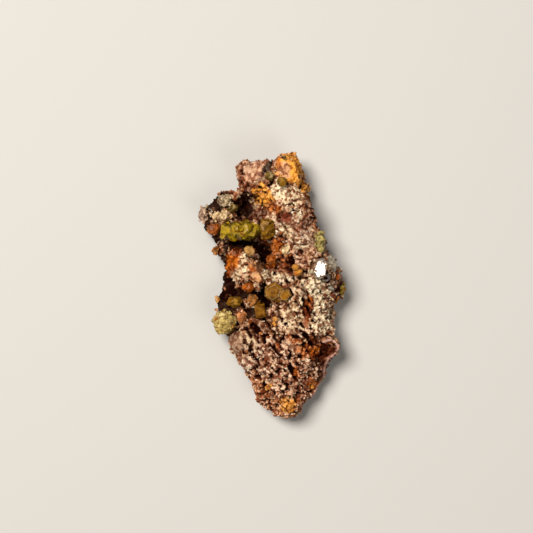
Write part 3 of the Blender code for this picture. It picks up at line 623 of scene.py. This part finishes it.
def patch_weight(places, wobble, middle, radii, turn):
    """How strongly a patch shows at each place, from 0 to 1, with a ragged edge: a stain, painted shade, a
    smooth stretch.
    """
    turn = math.radians(turn)
    x, y = places[:, 0] - middle[0], places[:, 1] - middle[1]
    along = (x * math.cos(turn) + y * math.sin(turn)) / radii[0]
    across = (y * math.cos(turn) - x * math.sin(turn)) / radii[1]
    return 1 - smoothstep(*STAIN_EDGE, np.hypot(along, across) + wobble)


def line_distance(places, start, end):
    """How far each place lies from a straight line between two places, seen from above."""
    start, along = np.array(start), np.array(end) - np.array(start)
    aside = places[:, :2] - start
    reach = np.clip(aside @ along / (along @ along), 0, 1)
    return np.hypot(*(aside - reach[:, None] * along).T)


def grooved(places, wobble):
    """How far each place lies in a long groove, from 0 to 1, and how deep the groove is there."""
    share, depth = np.zeros(len(places)), np.zeros(len(places))
    for _, start, end, width, deep in GROOVES:
        aside = line_distance(places, start, end) / width + GROOVE_WOBBLE * wobble
        here = 1 - smoothstep(*GROOVE_EDGE, aside)
        share = np.maximum(share, here)
        depth = np.maximum(depth, here * deep)
    return share, depth


def ridged(places, normals, wobble):
    """How far each place lies on a raised rim, from 0 to 1, and how high the rim stands there."""
    top = smoothstep(*RIM_SLOPE, normals[:, 2])
    share, height = np.zeros(len(places)), np.zeros(len(places))
    for _, line, width, high in RIDGES:
        for start, end in zip(line, line[1:]):
            aside = line_distance(places, start, end) / width + RIM_WOBBLE * wobble
            here = 1 - smoothstep(*RIM_EDGE, aside)
            share = np.maximum(share, here * top)
            height = np.maximum(height, here * top * high)
    return share, height


def relief(place, rough):
    """How far the surface stands out at a place, and its level: 0 deep in a pit, 1 on the crust."""
    slanted = Vector(
        ((place.x - place.y) / SLANT[0], (place.x + place.y) / SLANT[1], place.z / SLANT[2])
    )
    drawn = Vector((slanted.x * PIT_SLANT[0 if place.y < 0 else 1], slanted.y, slanted.z))
    lump = noise.voronoi(slanted / LUMP)[0]
    edge = lump[1] - lump[0]
    grain = noise.voronoi(place / GRAIN)[0]
    crumb = noise.fractal(place / CRUMB, 1.0, 2.0, 3)
    maze = noise.fractal(drawn / MAZE, 1.0, 2.1, 3)
    whole = CRACK_SHARE[0] + CRACK_SHARE[1] * noise.noise(place / CRACK_LENGTH)
    broken = min(1.0, max(0.0, whole))
    crack = rough * broken * max(0.0, 1.0 - edge / CRACK_WIDTH)
    pit = min(1.0, rough * max(0.0, PIT_START - maze) / PIT_SLOPE)
    lively = CALM_RELIEF[0] + CALM_RELIEF[1] * rough
    out = LUMP_HEIGHT * lively * (min(edge, LUMP_TABLE) - LUMP_LEVEL)
    out += GRAIN_HEIGHT * (grain[1] - grain[0] - GRAIN_LEVEL) + CRUMB_HEIGHT * lively * crumb
    return out - CRACK_DEPTH * crack - PIT_DEPTH * pit, 1.0 - max(pit, CRACK_DARKNESS * crack)


def ray_target(mesh):
    """A tree of the mesh's faces that rays can be cast at."""
    corners = [vertex.co.copy() for vertex in mesh.vertices]
    return BVHTree.FromPolygons(corners, [tuple(face.vertices) for face in mesh.polygons])


def exposure(mesh, places, normals):
    """How open the surface is at each place, from 0 to 1: the share of rays that get away."""
    stone = ray_target(mesh)
    chance = random.Random(3)
    ways = []
    for i in range(OPEN_RAYS):
        height = (i + 0.5) / OPEN_RAYS
        turn = i * GOLDEN_ANGLE + chance.uniform(0, 0.5)
        flat = math.sqrt(1 - height * height)
        ways.append(np.array((flat * math.cos(turn), flat * math.sin(turn), height)))
    found = np.zeros(len(places))
    for i, (place, normal) in enumerate(zip(places, normals)):
        start = Vector(place + normal * OPEN_LIFT * MM)
        hits = 0
        for way in ways:
            if way @ normal < 0:
                way = way - 2 * (way @ normal) * normal
            hits += stone.ray_cast(start, Vector(way), OPEN_REACH * MM)[0] is not None
        found[i] = 1 - hits / OPEN_RAYS
    return found


def add_values(mesh, name, values):
    """Gives the mesh an attribute with one number for each point."""
    attribute = mesh.attributes.new(name, "FLOAT", "POINT")
    attribute.data.foreach_set("value", values.astype(np.float32))


def add_colours(mesh, name, colours):
    """Gives the mesh an attribute with one colour for each point."""
    attribute = mesh.attributes.new(name, "FLOAT_COLOR", "POINT")
    full = np.concatenate([colours, np.ones((len(colours), 1))], axis=1)
    attribute.data.foreach_set("color", full.astype(np.float32).ravel())


def towards(colours, name, share):
    """Moves colours towards one of the named ones."""
    return colours + (np.array(linear(name)) - colours) * share[:, None]


def patches(places, size, shift, octaves):
    """Noise at each place, with patches of a size."""
    shift = Vector(shift)
    return np.array([noise.fractal((Vector(place) + shift) / size, 1.0, 2.0, octaves) for place in places])


def ground(places, normals):
    """The ground at each place: its colour, with stains and painted shade in it, the painted shade on its
    own, cover with druse, roughness, and edges' wobble.
    """
    count = len(places)
    flank = 1 - np.maximum(smoothstep(*LEVEL_GROUND, normals[:, 2]), smoothstep(*HIGH_GROUND, places[:, 2]))
    noises = {name: patches(places, *how) for name, how in NOISES.items()}
    wobble = noises["wobble"]
    colours = np.tile(np.array(linear("tan")), (count, 1))
    for colour, name, sign, edge, strength in MOTTLING:
        colours = towards(colours, colour, strength * smoothstep(*edge, sign * noises[name]))
    druse = np.full(count, BARE_COVER)
    shade = np.zeros(count)
    for _, middle, radii, turn, colour, strength, cover in STAINS_AND_SHADE:
        weight = strength * patch_weight(places, STAIN_WOBBLE * wobble, middle, radii, turn)
        # The rows coloured dark are painted shade. Their weight is kept so that the rusty pits below leave
        # them dark.
        if colour == "dark":
            shade = np.maximum(shade, weight)
        else:
            weight *= 1 - STAIN_FADE * flank
        colours = towards(colours, colour, weight)
        druse += (cover - druse) * weight
    rough = HALF_ROUGH[0] + HALF_ROUGH[1] * smoothstep(*LOWER_HALF, -places[:, 1])
    rough *= PATCH_ROUGH[0] + PATCH_ROUGH[1] * smoothstep(*ROUGH_PATCH, noises["middling"])
    rough *= 1 - DRUSE_EVENS * smoothstep(*THICK_DRUSE, druse)
    for _, middle, radii, turn, smoothed in CALM:
        calm = patch_weight(places, CALM_WOBBLE * wobble, middle, radii, turn)
        rough *= 1 - (1 - flank) * smoothed * calm
    return colours, shade, druse, rough, wobble


def dressed_stone():
    """The stone with its relief, grooves and rims, which carries its colours, painted shade and painted rim
    highlights included, and its cover with druse.
    """
    made = stone_blank()
    mesh = made.data
    places = points_of(mesh)
    normals = normals_of(mesh)
    colours, shade, druse, rough, wobble = ground(places / MM, normals)
    out = np.empty(len(places))
    level = np.empty(len(places))
    for i, place in enumerate(places):
        out[i], level[i] = relief(Vector(place / MM), rough[i])
    share, depth = grooved(places / MM, wobble)
    level = np.minimum(level, 1 - share)
    rim, height = ridged(places / MM, normals, wobble)
    level = np.maximum(level, rim)
    out = (out - depth) * (1 - rim) + height
    out *= smoothstep(0.0, RELIEF_FOOT, places[:, 2] / MM)
    places += normals * (out * MM)[:, None]
    places[:, 2] = np.maximum(places[:, 2], 0.0)
    move_points(mesh, places)
    openness = exposure(mesh, places, normals_of(mesh))
    tone = np.array([noise.fractal(Vector(place / MM + 40) / GROUND_TONE, 1.0, 2.0, 2) for place in places])
    add_values(mesh, "ground_tone", smoothstep(*TONE_SPREAD, tone))
    # Painted highlight: the raised rims go pale pink.
    colours = towards(colours, "rim highlight pink", RIM_HIGHLIGHT * rim)
    colours = towards(colours, "rust brown", (1 - shade) * (1 - smoothstep(*RUSTY_PIT, level)))
    # Painted shade, partly dark oxide: pits and cracks go near black.
    colours = towards(colours, "dark", 1 - smoothstep(*DARK_PIT, level))
    # Painted shade: the more shut in a place is, the nearer black it goes.
    colours = towards(colours, "dark", 1 - smoothstep(*HOLLOW_SHADE, openness))
    druse *= (1 - rim) * smoothstep(*DRUSE_HOLLOW, openness) * smoothstep(*DRUSE_PIT, level)
    druse *= places[:, 2] > DRUSE_FOOT * MM
    # These colours carry the stains, the painted shade of hollows, pits and the dark rows, and the painted
    # highlight of the rims.
    add_colours(mesh, "tint", colours)
    add_values(mesh, "druse", np.clip(druse, 0, 1))
    mesh.shade_smooth()
    return made


# ---- trees of nodes


def new_tree(name, inputs):
    """A geometry tree with named inputs. Gives the tree and the inputs' identifiers."""
    tree = bpy.data.node_groups.new(name, "GeometryNodeTree")
    tree.interface.new_socket("Geometry", in_out="INPUT", socket_type="NodeSocketGeometry")
    tree.interface.new_socket("Geometry", in_out="OUTPUT", socket_type="NodeSocketGeometry")
    ids = {}
    for label, kind in inputs.items():
        socket = tree.interface.new_socket(label, in_out="INPUT", socket_type="NodeSocket" + kind)
        ids[label] = socket.identifier
    return tree, ids


def feed(tree, socket, source):
    """Joins a source to a socket, or sets the socket to a value."""
    if isinstance(source, bpy.types.NodeSocket):
        tree.links.new(source, socket)
    else:
        socket.default_value = source


def node(tree, kind, inputs=None, **settings):
    """A new node with its settings, and then its inputs, each told by its label or its number."""
    made = tree.nodes.new(kind)
    for name, value in settings.items():
        setattr(made, name, value)
    for socket, source in (inputs or {}).items():
        feed(tree, made.inputs[socket], source)
    return made


def worked_out(tree, operation, first, second):
    """A sum, product or other result of two numbers."""
    return node(tree, "ShaderNodeMath", {0: first, 1: second}, operation=operation).outputs[0]


def scaled(tree, way, size):
    """A direction made longer or shorter."""
    return node(tree, "ShaderNodeVectorMath", {0: way, "Scale": size}, operation="SCALE").outputs[0]


def scatter_tree():
    """Small crystals that stand on a surface, each with a tone of its own."""
    inputs = {
        "Shapes": "Collection",
        "Density": "Float",
        "Spacing": "Float",
        "Smallest": "Float",
        "Largest": "Float",
        "Lean": "Float",
        "Sink": "Float",
        "Seed": "Int",
        "Material": "Material",
    }
    tree, ids = new_tree("small_crystals", inputs)
    given = node(tree, "NodeGroupInput").outputs
    cover = node(tree, "GeometryNodeInputNamedAttribute", {"Name": "druse"}, data_type="FLOAT")
    spreading = {
        "Mesh": given["Geometry"],
        "Distance Min": given["Spacing"],
        "Density Max": given["Density"],
        "Density Factor": cover.outputs["Attribute"],
        "Seed": given["Seed"],
    }
    spread = node(tree, "GeometryNodeDistributePointsOnFaces", spreading, distribute_method="POISSON")

    chance = node(tree, "FunctionNodeRandomValue", {"Seed": given["Seed"]}, data_type="FLOAT")
    below = node(tree, "GeometryNodeInputNamedAttribute", {"Name": "ground_tone"}, data_type="FLOAT")
    both = {"Factor": GROUND_SHARE, "A": chance.outputs[1], "B": below.outputs["Attribute"]}
    tone = node(tree, "ShaderNodeMix", both, data_type="FLOAT")
    stored = {"Geometry": spread.outputs["Points"], "Name": "tone", "Value": tone.outputs["Result"]}
    named = node(tree, "GeometryNodeStoreNamedAttribute", stored, data_type="FLOAT", domain="POINT")

    limits = {2: given["Smallest"], 3: given["Largest"]}
    size = node(tree, "FunctionNodeRandomValue", limits, data_type="FLOAT").outputs[1]
    depth = worked_out(tree, "MULTIPLY", size, given["Sink"])
    down = scaled(tree, spread.outputs["Normal"], depth)
    moved = {"Geometry": named.outputs["Geometry"], "Offset": down}
    sunk = node(tree, "GeometryNodeSetPosition", moved)

    limits = {0: (-1.0, -1.0, -1.0), 1: (1.0, 1.0, 1.0)}
    leaning = node(tree, "FunctionNodeRandomValue", limits, data_type="FLOAT_VECTOR").outputs[0]
    ways = {0: spread.outputs["Normal"], 1: scaled(tree, leaning, given["Lean"])}
    way = node(tree, "ShaderNodeVectorMath", ways, operation="ADD").outputs[0]
    stood = node(tree, "FunctionNodeAlignRotationToVector", {"Vector": way}, axis="Z")
    turn = node(tree, "FunctionNodeRandomValue", {3: 2 * math.pi}, data_type="FLOAT").outputs[1]
    about = node(tree, "FunctionNodeAxisAngleToRotation", {"Angle": turn})
    turns = {"Rotation": stood.outputs["Rotation"], "Rotate By": about.outputs["Rotation"]}
    turned = node(tree, "FunctionNodeRotateRotation", turns, rotation_space="LOCAL")

    picked = {"Collection": given["Shapes"], "Separate Children": True, "Reset Children": True}
    shapes = node(tree, "GeometryNodeCollectionInfo", picked)
    placing = {
        "Points": sunk.outputs["Geometry"],
        "Instance": shapes.outputs["Instances"],
        "Pick Instance": True,
        "Rotation": turned.outputs["Rotation"],
        "Scale": size,
    }
    placed = node(tree, "GeometryNodeInstanceOnPoints", placing)
    real = node(tree, "GeometryNodeRealizeInstances", {"Geometry": placed.outputs["Instances"]})
    finish = {"Geometry": real.outputs["Geometry"], "Material": given["Material"]}
    dressed = node(tree, "GeometryNodeSetMaterial", finish)
    node(tree, "NodeGroupOutput", {"Geometry": dressed.outputs["Geometry"]})
    return tree, ids


def scattered(name, surface, shapes, finish, density, spacing, sizes, lean, sink, seed):
    """A new object with small crystals all over a surface, as one plain mesh."""
    tree, ids = SCATTER
    made = bpy.data.objects.new(name, surface.data.copy())
    bpy.context.scene.collection.objects.link(made)
    scatter = made.modifiers.new("scatter", "NODES")
    scatter.node_group = tree
    values = {
        "Shapes": shapes,
        "Density": density / MM**2,
        "Spacing": spacing * MM,
        "Smallest": sizes[0] * MM,
        "Largest": sizes[1] * MM,
        "Lean": lean,
        "Sink": sink,
        "Seed": seed,
        "Material": finish,
    }
    for label, value in values.items():
        scatter[ids[label]] = value
    return applied(made)


def shape_collection(name, shapes):
    """A collection, left out of the scene, that holds one object for each bmesh."""
    made = bpy.data.collections.new(name)
    for i, shape in enumerate(shapes):
        mesh = bpy.data.meshes.new(f"{name}_{i}")
        shape.to_mesh(mesh)
        shape.free()
        made.objects.link(bpy.data.objects.new(f"{name}_{i}", mesh))
    return made


def hull(points):
    """The smallest convex shape around the points."""
    shape = bmesh.new()
    for point in points:
        shape.verts.new(point)
    found = bmesh.ops.convex_hull(shape, input=shape.verts[:])
    unused = found["geom_interior"] + found["geom_unused"]
    loose = {item for item in unused if isinstance(item, bmesh.types.BMVert)}
    bmesh.ops.delete(shape, geom=list(loose), context="VERTS")
    bmesh.ops.recalc_face_normals(shape, faces=shape.faces[:])
    return shape


def grain_shapes():
    """Broken, blocky grains about 1 across, with 12 to 16 faces: boxes with their corners pushed about."""
    chance = random.Random(11)
    shapes = []
    for thickness in (0.24, 0.30, 0.36, 0.42, 0.30, 0.36):
        points = []
        for x, y, z in itertools.product((-1, 1), repeat=3):
            push = [chance.uniform(0.62, 1.12) for _ in range(3)]
            points.append(Vector((0.46 * x * push[0], 0.36 * y * push[1], thickness * z * push[2])))
        points.append(Vector((chance.uniform(-0.2, 0.2), chance.uniform(-0.2, 0.2), 1.3 * thickness)))
        shapes.append(hull(points))
    return shapes


def prism_shapes():
    """Small adamite crystals 1 across: a wedge-ended prism standing on z = 0."""
    chance = random.Random(5)
    shapes = []
    for length in (0.7, 0.9, 1.1, 1.4):
        thick = chance.uniform(0.62, 0.85)
        turns = [math.radians(turn) for turn in (0, 58, 122, 180, 238, 302)]
        section = [(0.5 * math.cos(turn), 0.5 * thick * math.sin(turn)) for turn in turns]
        points = [Vector((0.8 * x, 0.8 * y, 0)) for x, y in section]
        points += [Vector((x, y, length - 0.3)) for x, y in section]
        points += [Vector((-0.2, 0.0, length)), Vector((0.22, 0.0, length - 0.04))]
        shapes.append(hull(points))
    return shapes


# ---- materials


def new_material(name):
    """A material, its tree and its shader."""
    made = bpy.data.materials.new(name)
    made.use_nodes = True
    return made, made.node_tree, made.node_tree.nodes["Principled BSDF"]


def mixed(tree, share, first, second, way="MIX"):
    """A mix of two colours, each a socket or a colour's name."""
    ends = [end if isinstance(end, bpy.types.NodeSocket) else (*linear(end), 1.0) for end in (first, second)]
    inputs = {"Factor": share, "A": ends[0], "B": ends[1]}
    return node(tree, "ShaderNodeMix", inputs, data_type="RGBA", blend_type=way).outputs["Result"]


def ranged(tree, value, low, high, first=0.0, last=1.0):
    """A value, from the range low to high, put in the range first to last."""
    inputs = {"Value": value, "From Min": low, "From Max": high, "To Min": first, "To Max": last}
    return node(tree, "ShaderNodeMapRange", inputs).outputs["Result"]


def speckle(tree, size, detail=3.0):
    """Noise with patches of a size in millimetres."""
    place = node(tree, "ShaderNodeTexCoord").outputs["Object"]
    inputs = {"Vector": place, "Scale": 1 / (size * MM), "Detail": detail}
    return node(tree, "ShaderNodeTexNoise", inputs).outputs["Fac"]


def cells(tree, size):
    """Random value of each of the grains of a size in millimetres, and the distance to its middle."""
    place = node(tree, "ShaderNodeTexCoord").outputs["Object"]
    made = node(tree, "ShaderNodeTexVoronoi", {"Vector": place, "Scale": 1 / (size * MM)})
    return made.outputs["Color"], made.outputs["Distance"]


def attribute(tree, name, output="Fac"):
    """What a piece's own attribute says."""
    return node(tree, "ShaderNodeAttribute", attribute_name=name).outputs[output]


def bump(tree, shader, height, depth):
    """Waves on the surface, with a depth in millimetres."""
    made = node(tree, "ShaderNodeBump", {"Strength": 1.0, "Distance": depth * MM, "Height": height})
    feed(tree, shader.inputs["Normal"], made.outputs["Normal"])


def stone_material():
    """Limonite: its stains, painted shade and rim highlights, paler and darker with its tone, mottled from
    grain to grain.
    """
    made, tree, shader = new_material("limonite")
    tone = attribute(tree, "ground_tone")
    grain, distance = cells(tree, CRUST_GRAIN)
    share = worked_out(tree, "MULTIPLY", ranged(tree, tone, *PALE_CRUST), attribute(tree, "druse"))
    pale = mixed(tree, share, attribute(tree, "tint", "Color"), "pale crust")
    shaded = mixed(tree, ranged(tree, tone, *SHADED_CRUST), pale, "shaded crust", "MULTIPLY")
    mottled = mixed(tree, ranged(tree, grain, *MOTTLED_CRUST), shaded, "mottled crust", "MULTIPLY")
    feed(tree, shader.inputs["Base Color"], mottled)
    feed(tree, shader.inputs["Roughness"], ranged(tree, grain, *CRUST_ROUGHNESS))
    shader.inputs["Specular IOR Level"].default_value = CRUST_SPECULAR
    bump(tree, shader, ranged(tree, distance, *CRUST_DOME), CRUST_DOME_HEIGHT)
    return made


def grain_material():
    """Grains of the druse: the colour of the ground below them, painted shade included, lightened on most
    and darkened on some.
    """
    made, tree, shader = new_material("druse")
    tone = attribute(tree, "tone")
    share = worked_out(tree, "MULTIPLY", ranged(tree, tone, *PALE_GRAIN), attribute(tree, "druse"))
    pale = mixed(tree, share, attribute(tree, "tint", "Color"), "pale grain")
    rusty = mixed(tree, ranged(tree, tone, *RUSTY_GRAIN), pale, "rusty grain", "MULTIPLY")
    cloud = ranged(tree, speckle(tree, CLOUD_IN_GRAIN), *CLOUDY_GRAIN)
    feed(tree, shader.inputs["Base Color"], mixed(tree, cloud, rusty, "cloudy grain", "MULTIPLY"))
    feed(tree, shader.inputs["Roughness"], ranged(tree, tone, *GRAIN_ROUGHNESS))
    shader.inputs["Specular IOR Level"].default_value = GRAIN_SPECULAR
    bump(tree, shader, speckle(tree, GRAIN_WAVE), GRAIN_WAVE_HEIGHT)
    return made


def crystal_material(name):
    """Translucent adamite: cloudy colour, stained patches, painted light that makes faces looking up paler,
    a painted highlight on worn edges, glassy faces and absorption inside.
    """
    deep, pale, tint, transmission, roughness, absorption = FINISHES[name]
    made, tree, shader = new_material(name.replace(" ", "_") + "_adamite")
    toned = ranged(tree, attribute(tree, "tone"), 0.0, 1.0, *TONE_LIGHT)
    clouded = ranged(tree, speckle(tree, CLOUD), *CLOUD_RANGE, *CLOUD_LIGHT)
    # Painted light: faces that look up are paler.
    top_lit_facets = ranged(tree, attribute(tree, "facet_and_top_light"), 0.0, 1.0, *FACET_LIGHT)
    light = worked_out(tree, "ADD", worked_out(tree, "ADD", toned, clouded), top_lit_facets)
    coloured = mixed(tree, ranged(tree, light, 0.0, 1.0), deep, pale)
    stained = mixed(tree, ranged(tree, speckle(tree, CRYSTAL_STAIN), *STAIN_RANGE), coloured, tint)
    # Painted highlight: worn edges are tinted pale.
    worn_edge_highlight = ranged(tree, attribute(tree, "rim"), 0.0, 1.0, 0.0, EDGE_HIGHLIGHT_TINT)
    glossy, dull = (share * roughness for share in SHEEN_SPREAD)
    sheen = ranged(tree, speckle(tree, CRYSTAL_SHEEN), *SHEEN_RANGE, glossy, dull)
    specular, wave = CLEAR_FACES if name == CLEAR else CLOUDY_FACES
    feed(tree, shader.inputs["Base Color"], mixed(tree, worn_edge_highlight, stained, "edge highlight"))
    feed(tree, shader.inputs["Roughness"], sheen)
    shader.inputs["IOR"].default_value = ADAMITE_IOR
    shader.inputs["Specular IOR Level"].default_value = specular
    shader.inputs["Transmission Weight"].default_value = transmission
    bump(tree, shader, speckle(tree, CRYSTAL_WAVE, 1.0), wave)
    inside = node(tree, "ShaderNodeVolumeAbsorption")
    inside.inputs["Color"].default_value = (*linear(pale), 1.0)
    inside.inputs["Density"].default_value = absorption / MM
    feed(tree, tree.nodes["Material Output"].inputs["Volume"], inside.outputs["Volume"])
    return made


# ---- the crystals


def worn_blank(name):
    """A copy of a crystal group with worn edges. A face's rim value is 1 on them, which the material shows
    as a pale painted highlight, and its facet value, partly painted top light, is its own.
    """
    shape = solid_copy(name)
    rim = shape.faces.layers.float.new("rim")
    facet_and_top_light = shape.faces.layers.float.new("facet_and_top_light")
    bmesh.ops.dissolve_limit(shape, angle_limit=FLAT_ANGLE, verts=shape.verts[:], edges=shape.edges[:])
    give_facets_top_light(shape, 0, random.Random(name))
    sharp = [edge for edge in shape.edges if edge.calc_face_angle(0) > SHARP_ANGLE]
    width = WORN_EDGE * MM
    worn_edge_highlight = bmesh.ops.bevel(
        shape, geom=sharp, offset=width, segments=1, profile=0.5, affect="EDGES", clamp_overlap=True
    )
    for face in worn_edge_highlight["faces"]:
        face[rim] = 1.0
        face[facet_and_top_light] = 0.5
    blank = new_object(name + "_blank", shape)
    count = len(blank.data.vertices)
    for label, value in (("tone", 0.5), ("ground_tone", 0.5), ("druse", 1.0)):
        add_values(blank.data, label, np.full(count, value))
    return blank


def dressed_crystals(name, finish, shapes, seed):
    """A crystal group with worn edges and small crystals on its faces."""
    _, sizes, density = GROUPS[name]
    blank = worn_blank(name)
    spacing = CLUSTER_SPACING * sizes[0]
    set_out = (density, spacing, sizes, CLUSTER_LEAN, CLUSTER_SINK, seed)
    small = scattered(name + "_small", blank, shapes, finish, *set_out)
    for label in ("rim", "facet_and_top_light"):  # on corners here, where they would hide the blank's own, on faces
        if label in small.data.attributes:
            small.data.attributes.remove(small.data.attributes[label])
    shape = bmesh.new()
    shape.from_mesh(blank.data)
    large_faces = len(shape.faces)
    shape.from_mesh(small.data)
    give_facets_top_light(shape, large_faces, random.Random(seed))
    bpy.data.objects.remove(blank)
    bpy.data.objects.remove(small)
    return finished(name + "_crystals", shape, finish)


def finished(name, shape, finish):
    """An object that holds the bmesh shape, in one finish."""
    made = new_object(name, shape)
    made.data.materials.clear()
    made.data.materials.append(finish)
    return made


def give_facets_top_light(shape, first, chance):
    """Gives each face from the first on a facet value of its own, from 0 to 1: partly chance, partly painted
    light, so that tops are lighter than sides.
    """
    facet_and_top_light = shape.faces.layers.float["facet_and_top_light"]
    shape.normal_update()
    shape.faces.ensure_lookup_table()
    for face in shape.faces[first:]:
        face[facet_and_top_light] = FACET_CHANCE * chance.random() + (1 - FACET_CHANCE) * max(0.0, face.normal.z)


def tuft(shape, place, normal, width, shapes, chance):
    """Adds small crystals, splayed out from a place on the stone. Gives a tone for each new corner."""
    tones = []
    for i in range(TUFT_COUNT):
        grown = chance.choice(shapes.objects[:]).data
        size = width * chance.uniform(*TUFT_SIZES)
        lean = Vector([chance.uniform(-1, 1) for _ in range(3)])
        way = (normal + TUFT_LEAN[min(i, 1)] * lean).normalized()
        aside = 0.0 if i == 0 else TUFT_RADIUS * width
        root = place + (aside * lean - TUFT_SINK * size * way) * MM
        upright = UP.rotation_difference(way).to_matrix().to_4x4()
        turned = upright @ Matrix.Rotation(chance.uniform(0, math.pi), 4, "Z")
        first = len(shape.verts)
        shape.from_mesh(grown)
        shape.verts.ensure_lookup_table()
        stood = Matrix.Translation(root) @ turned @ Matrix.Scale(size * MM, 4)
        bmesh.ops.transform(shape, matrix=stood, verts=shape.verts[first:])
        tones += [chance.random()] * (len(shape.verts) - first)
    return tones


def tufts(name, finish, stone, shapes, seed):
    """The tufts of one finish, as one piece, each where a plumb line meets the stone, or nearest to it."""
    chance = random.Random(seed)
    shape = bmesh.new()
    shape.faces.layers.float.new("facet_and_top_light")
    tones = []
    for _, (x, y), width, wanted in TUFTS:
        if wanted == name:
            place, normal, _, _ = stone.ray_cast(Vector((x, y, ABOVE)) * MM, -UP)
            if place is None:
                place, normal, _, _ = stone.find_nearest(Vector((x, y, EDGE_HEIGHT)) * MM)
            tones += tuft(shape, place, normal, width, shapes, chance)
    give_facets_top_light(shape, 0, chance)
    made = finished(name.replace(" ", "_") + "_tufts", shape, finish)
    add_values(made.data, "tone", np.array(tones))
    return made


# ---- the studio


def studio():
    """The floor, the room's light and the lamps. Gives the collection of pieces that the glint falls on."""
    shape = bmesh.new()
    bmesh.ops.create_grid(shape, x_segments=1, y_segments=1, size=FLOOR_HALF * MM)
    floor = new_object("floor", shape)
    paper, _, shader = new_material("pale paper")
    shader.inputs["Base Color"].default_value = PAPER
    shader.inputs["Roughness"].default_value = PAPER_ROUGHNESS
    floor.data.materials.append(paper)
    world = bpy.data.worlds.new("studio")
    world.use_nodes = True
    room = world.node_tree.nodes["Background"].inputs
    room["Color"].default_value = ROOM_LIGHT
    room["Strength"].default_value = ROOM_STRENGTH
    bpy.context.scene.world = world
    lamps = {name: area_light(name, *lamp) for name, *lamp in LAMPS}
    glassy = bpy.data.collections.new("glassy faces")
    lamps["glint"].light_linking.receiver_collection = glassy
    bpy.context.scene.view_settings.view_transform = "Standard"
    return glassy


def area_light(name, place, target, size, power):
    """A round lamp at a place, turned towards a target."""
    lamp = bpy.data.lights.new(name, "AREA")
    lamp.shape = "DISK"
    lamp.size = size * MM
    lamp.energy = power
    lamp.color = LAMP_LIGHT
    made = bpy.data.objects.new(name, lamp)
    made.location = Vector(place) * MM
    made.rotation_euler = (Vector(target) - Vector(place)).to_track_quat("-Z", "Y").to_euler()
    bpy.context.scene.collection.objects.link(made)
    return made


def camera():
    """The camera, over the middle of the frame and as high as FRAME_WIDTH asks."""
    lens = bpy.data.cameras.new("camera")
    lens.lens = LENS
    lens.sensor_width = SENSOR
    lens.clip_start = NEAR_CLIP * MM
    made = bpy.data.objects.new("camera", lens)
    height = FRAME_HEIGHT + FRAME_WIDTH * LENS / SENSOR
    made.location = Vector((*FRAME_CENTRE, height)) * MM
    bpy.context.scene.collection.objects.link(made)
    bpy.context.scene.camera = made


# ---- the whole


SCATTER = scatter_tree()


def main():
    camera()
    glassy = studio()
    shapes = {
        "grains": shape_collection("grains", grain_shapes()),
        "prisms": shape_collection("prisms", prism_shapes()),
    }
    stone = dressed_stone()
    stone.data.materials.append(stone_material())
    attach(stone, "root")
    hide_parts(STONE)
    finishes = {"druse": grain_material()}
    finishes.update({name: crystal_material(name) for name in FINISHES})
    for name, kind, density, spacing, sizes, seed, finish in DRUSE:
        set_out = (density, spacing, sizes, DRUSE_LEAN, DRUSE_SINK, seed)
        made = scattered(name, stone, shapes[kind], finishes[finish], *set_out)
        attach(made, "root")
    for seed, name in enumerate(GROUPS):
        made = dressed_crystals(name, finishes[GROUPS[name][0]], shapes["prisms"], seed)
        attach(made, "root")
        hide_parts(name)
        if SLOTS[name] == "clear_adamite":
            glassy.objects.link(made)
    target = ray_target(stone.data)
    for seed, name in enumerate(sorted({finish for _, _, _, finish in TUFTS})):
        made = tufts(name, finishes[name], target, shapes["prisms"], seed)
        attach(made, "root")


main()
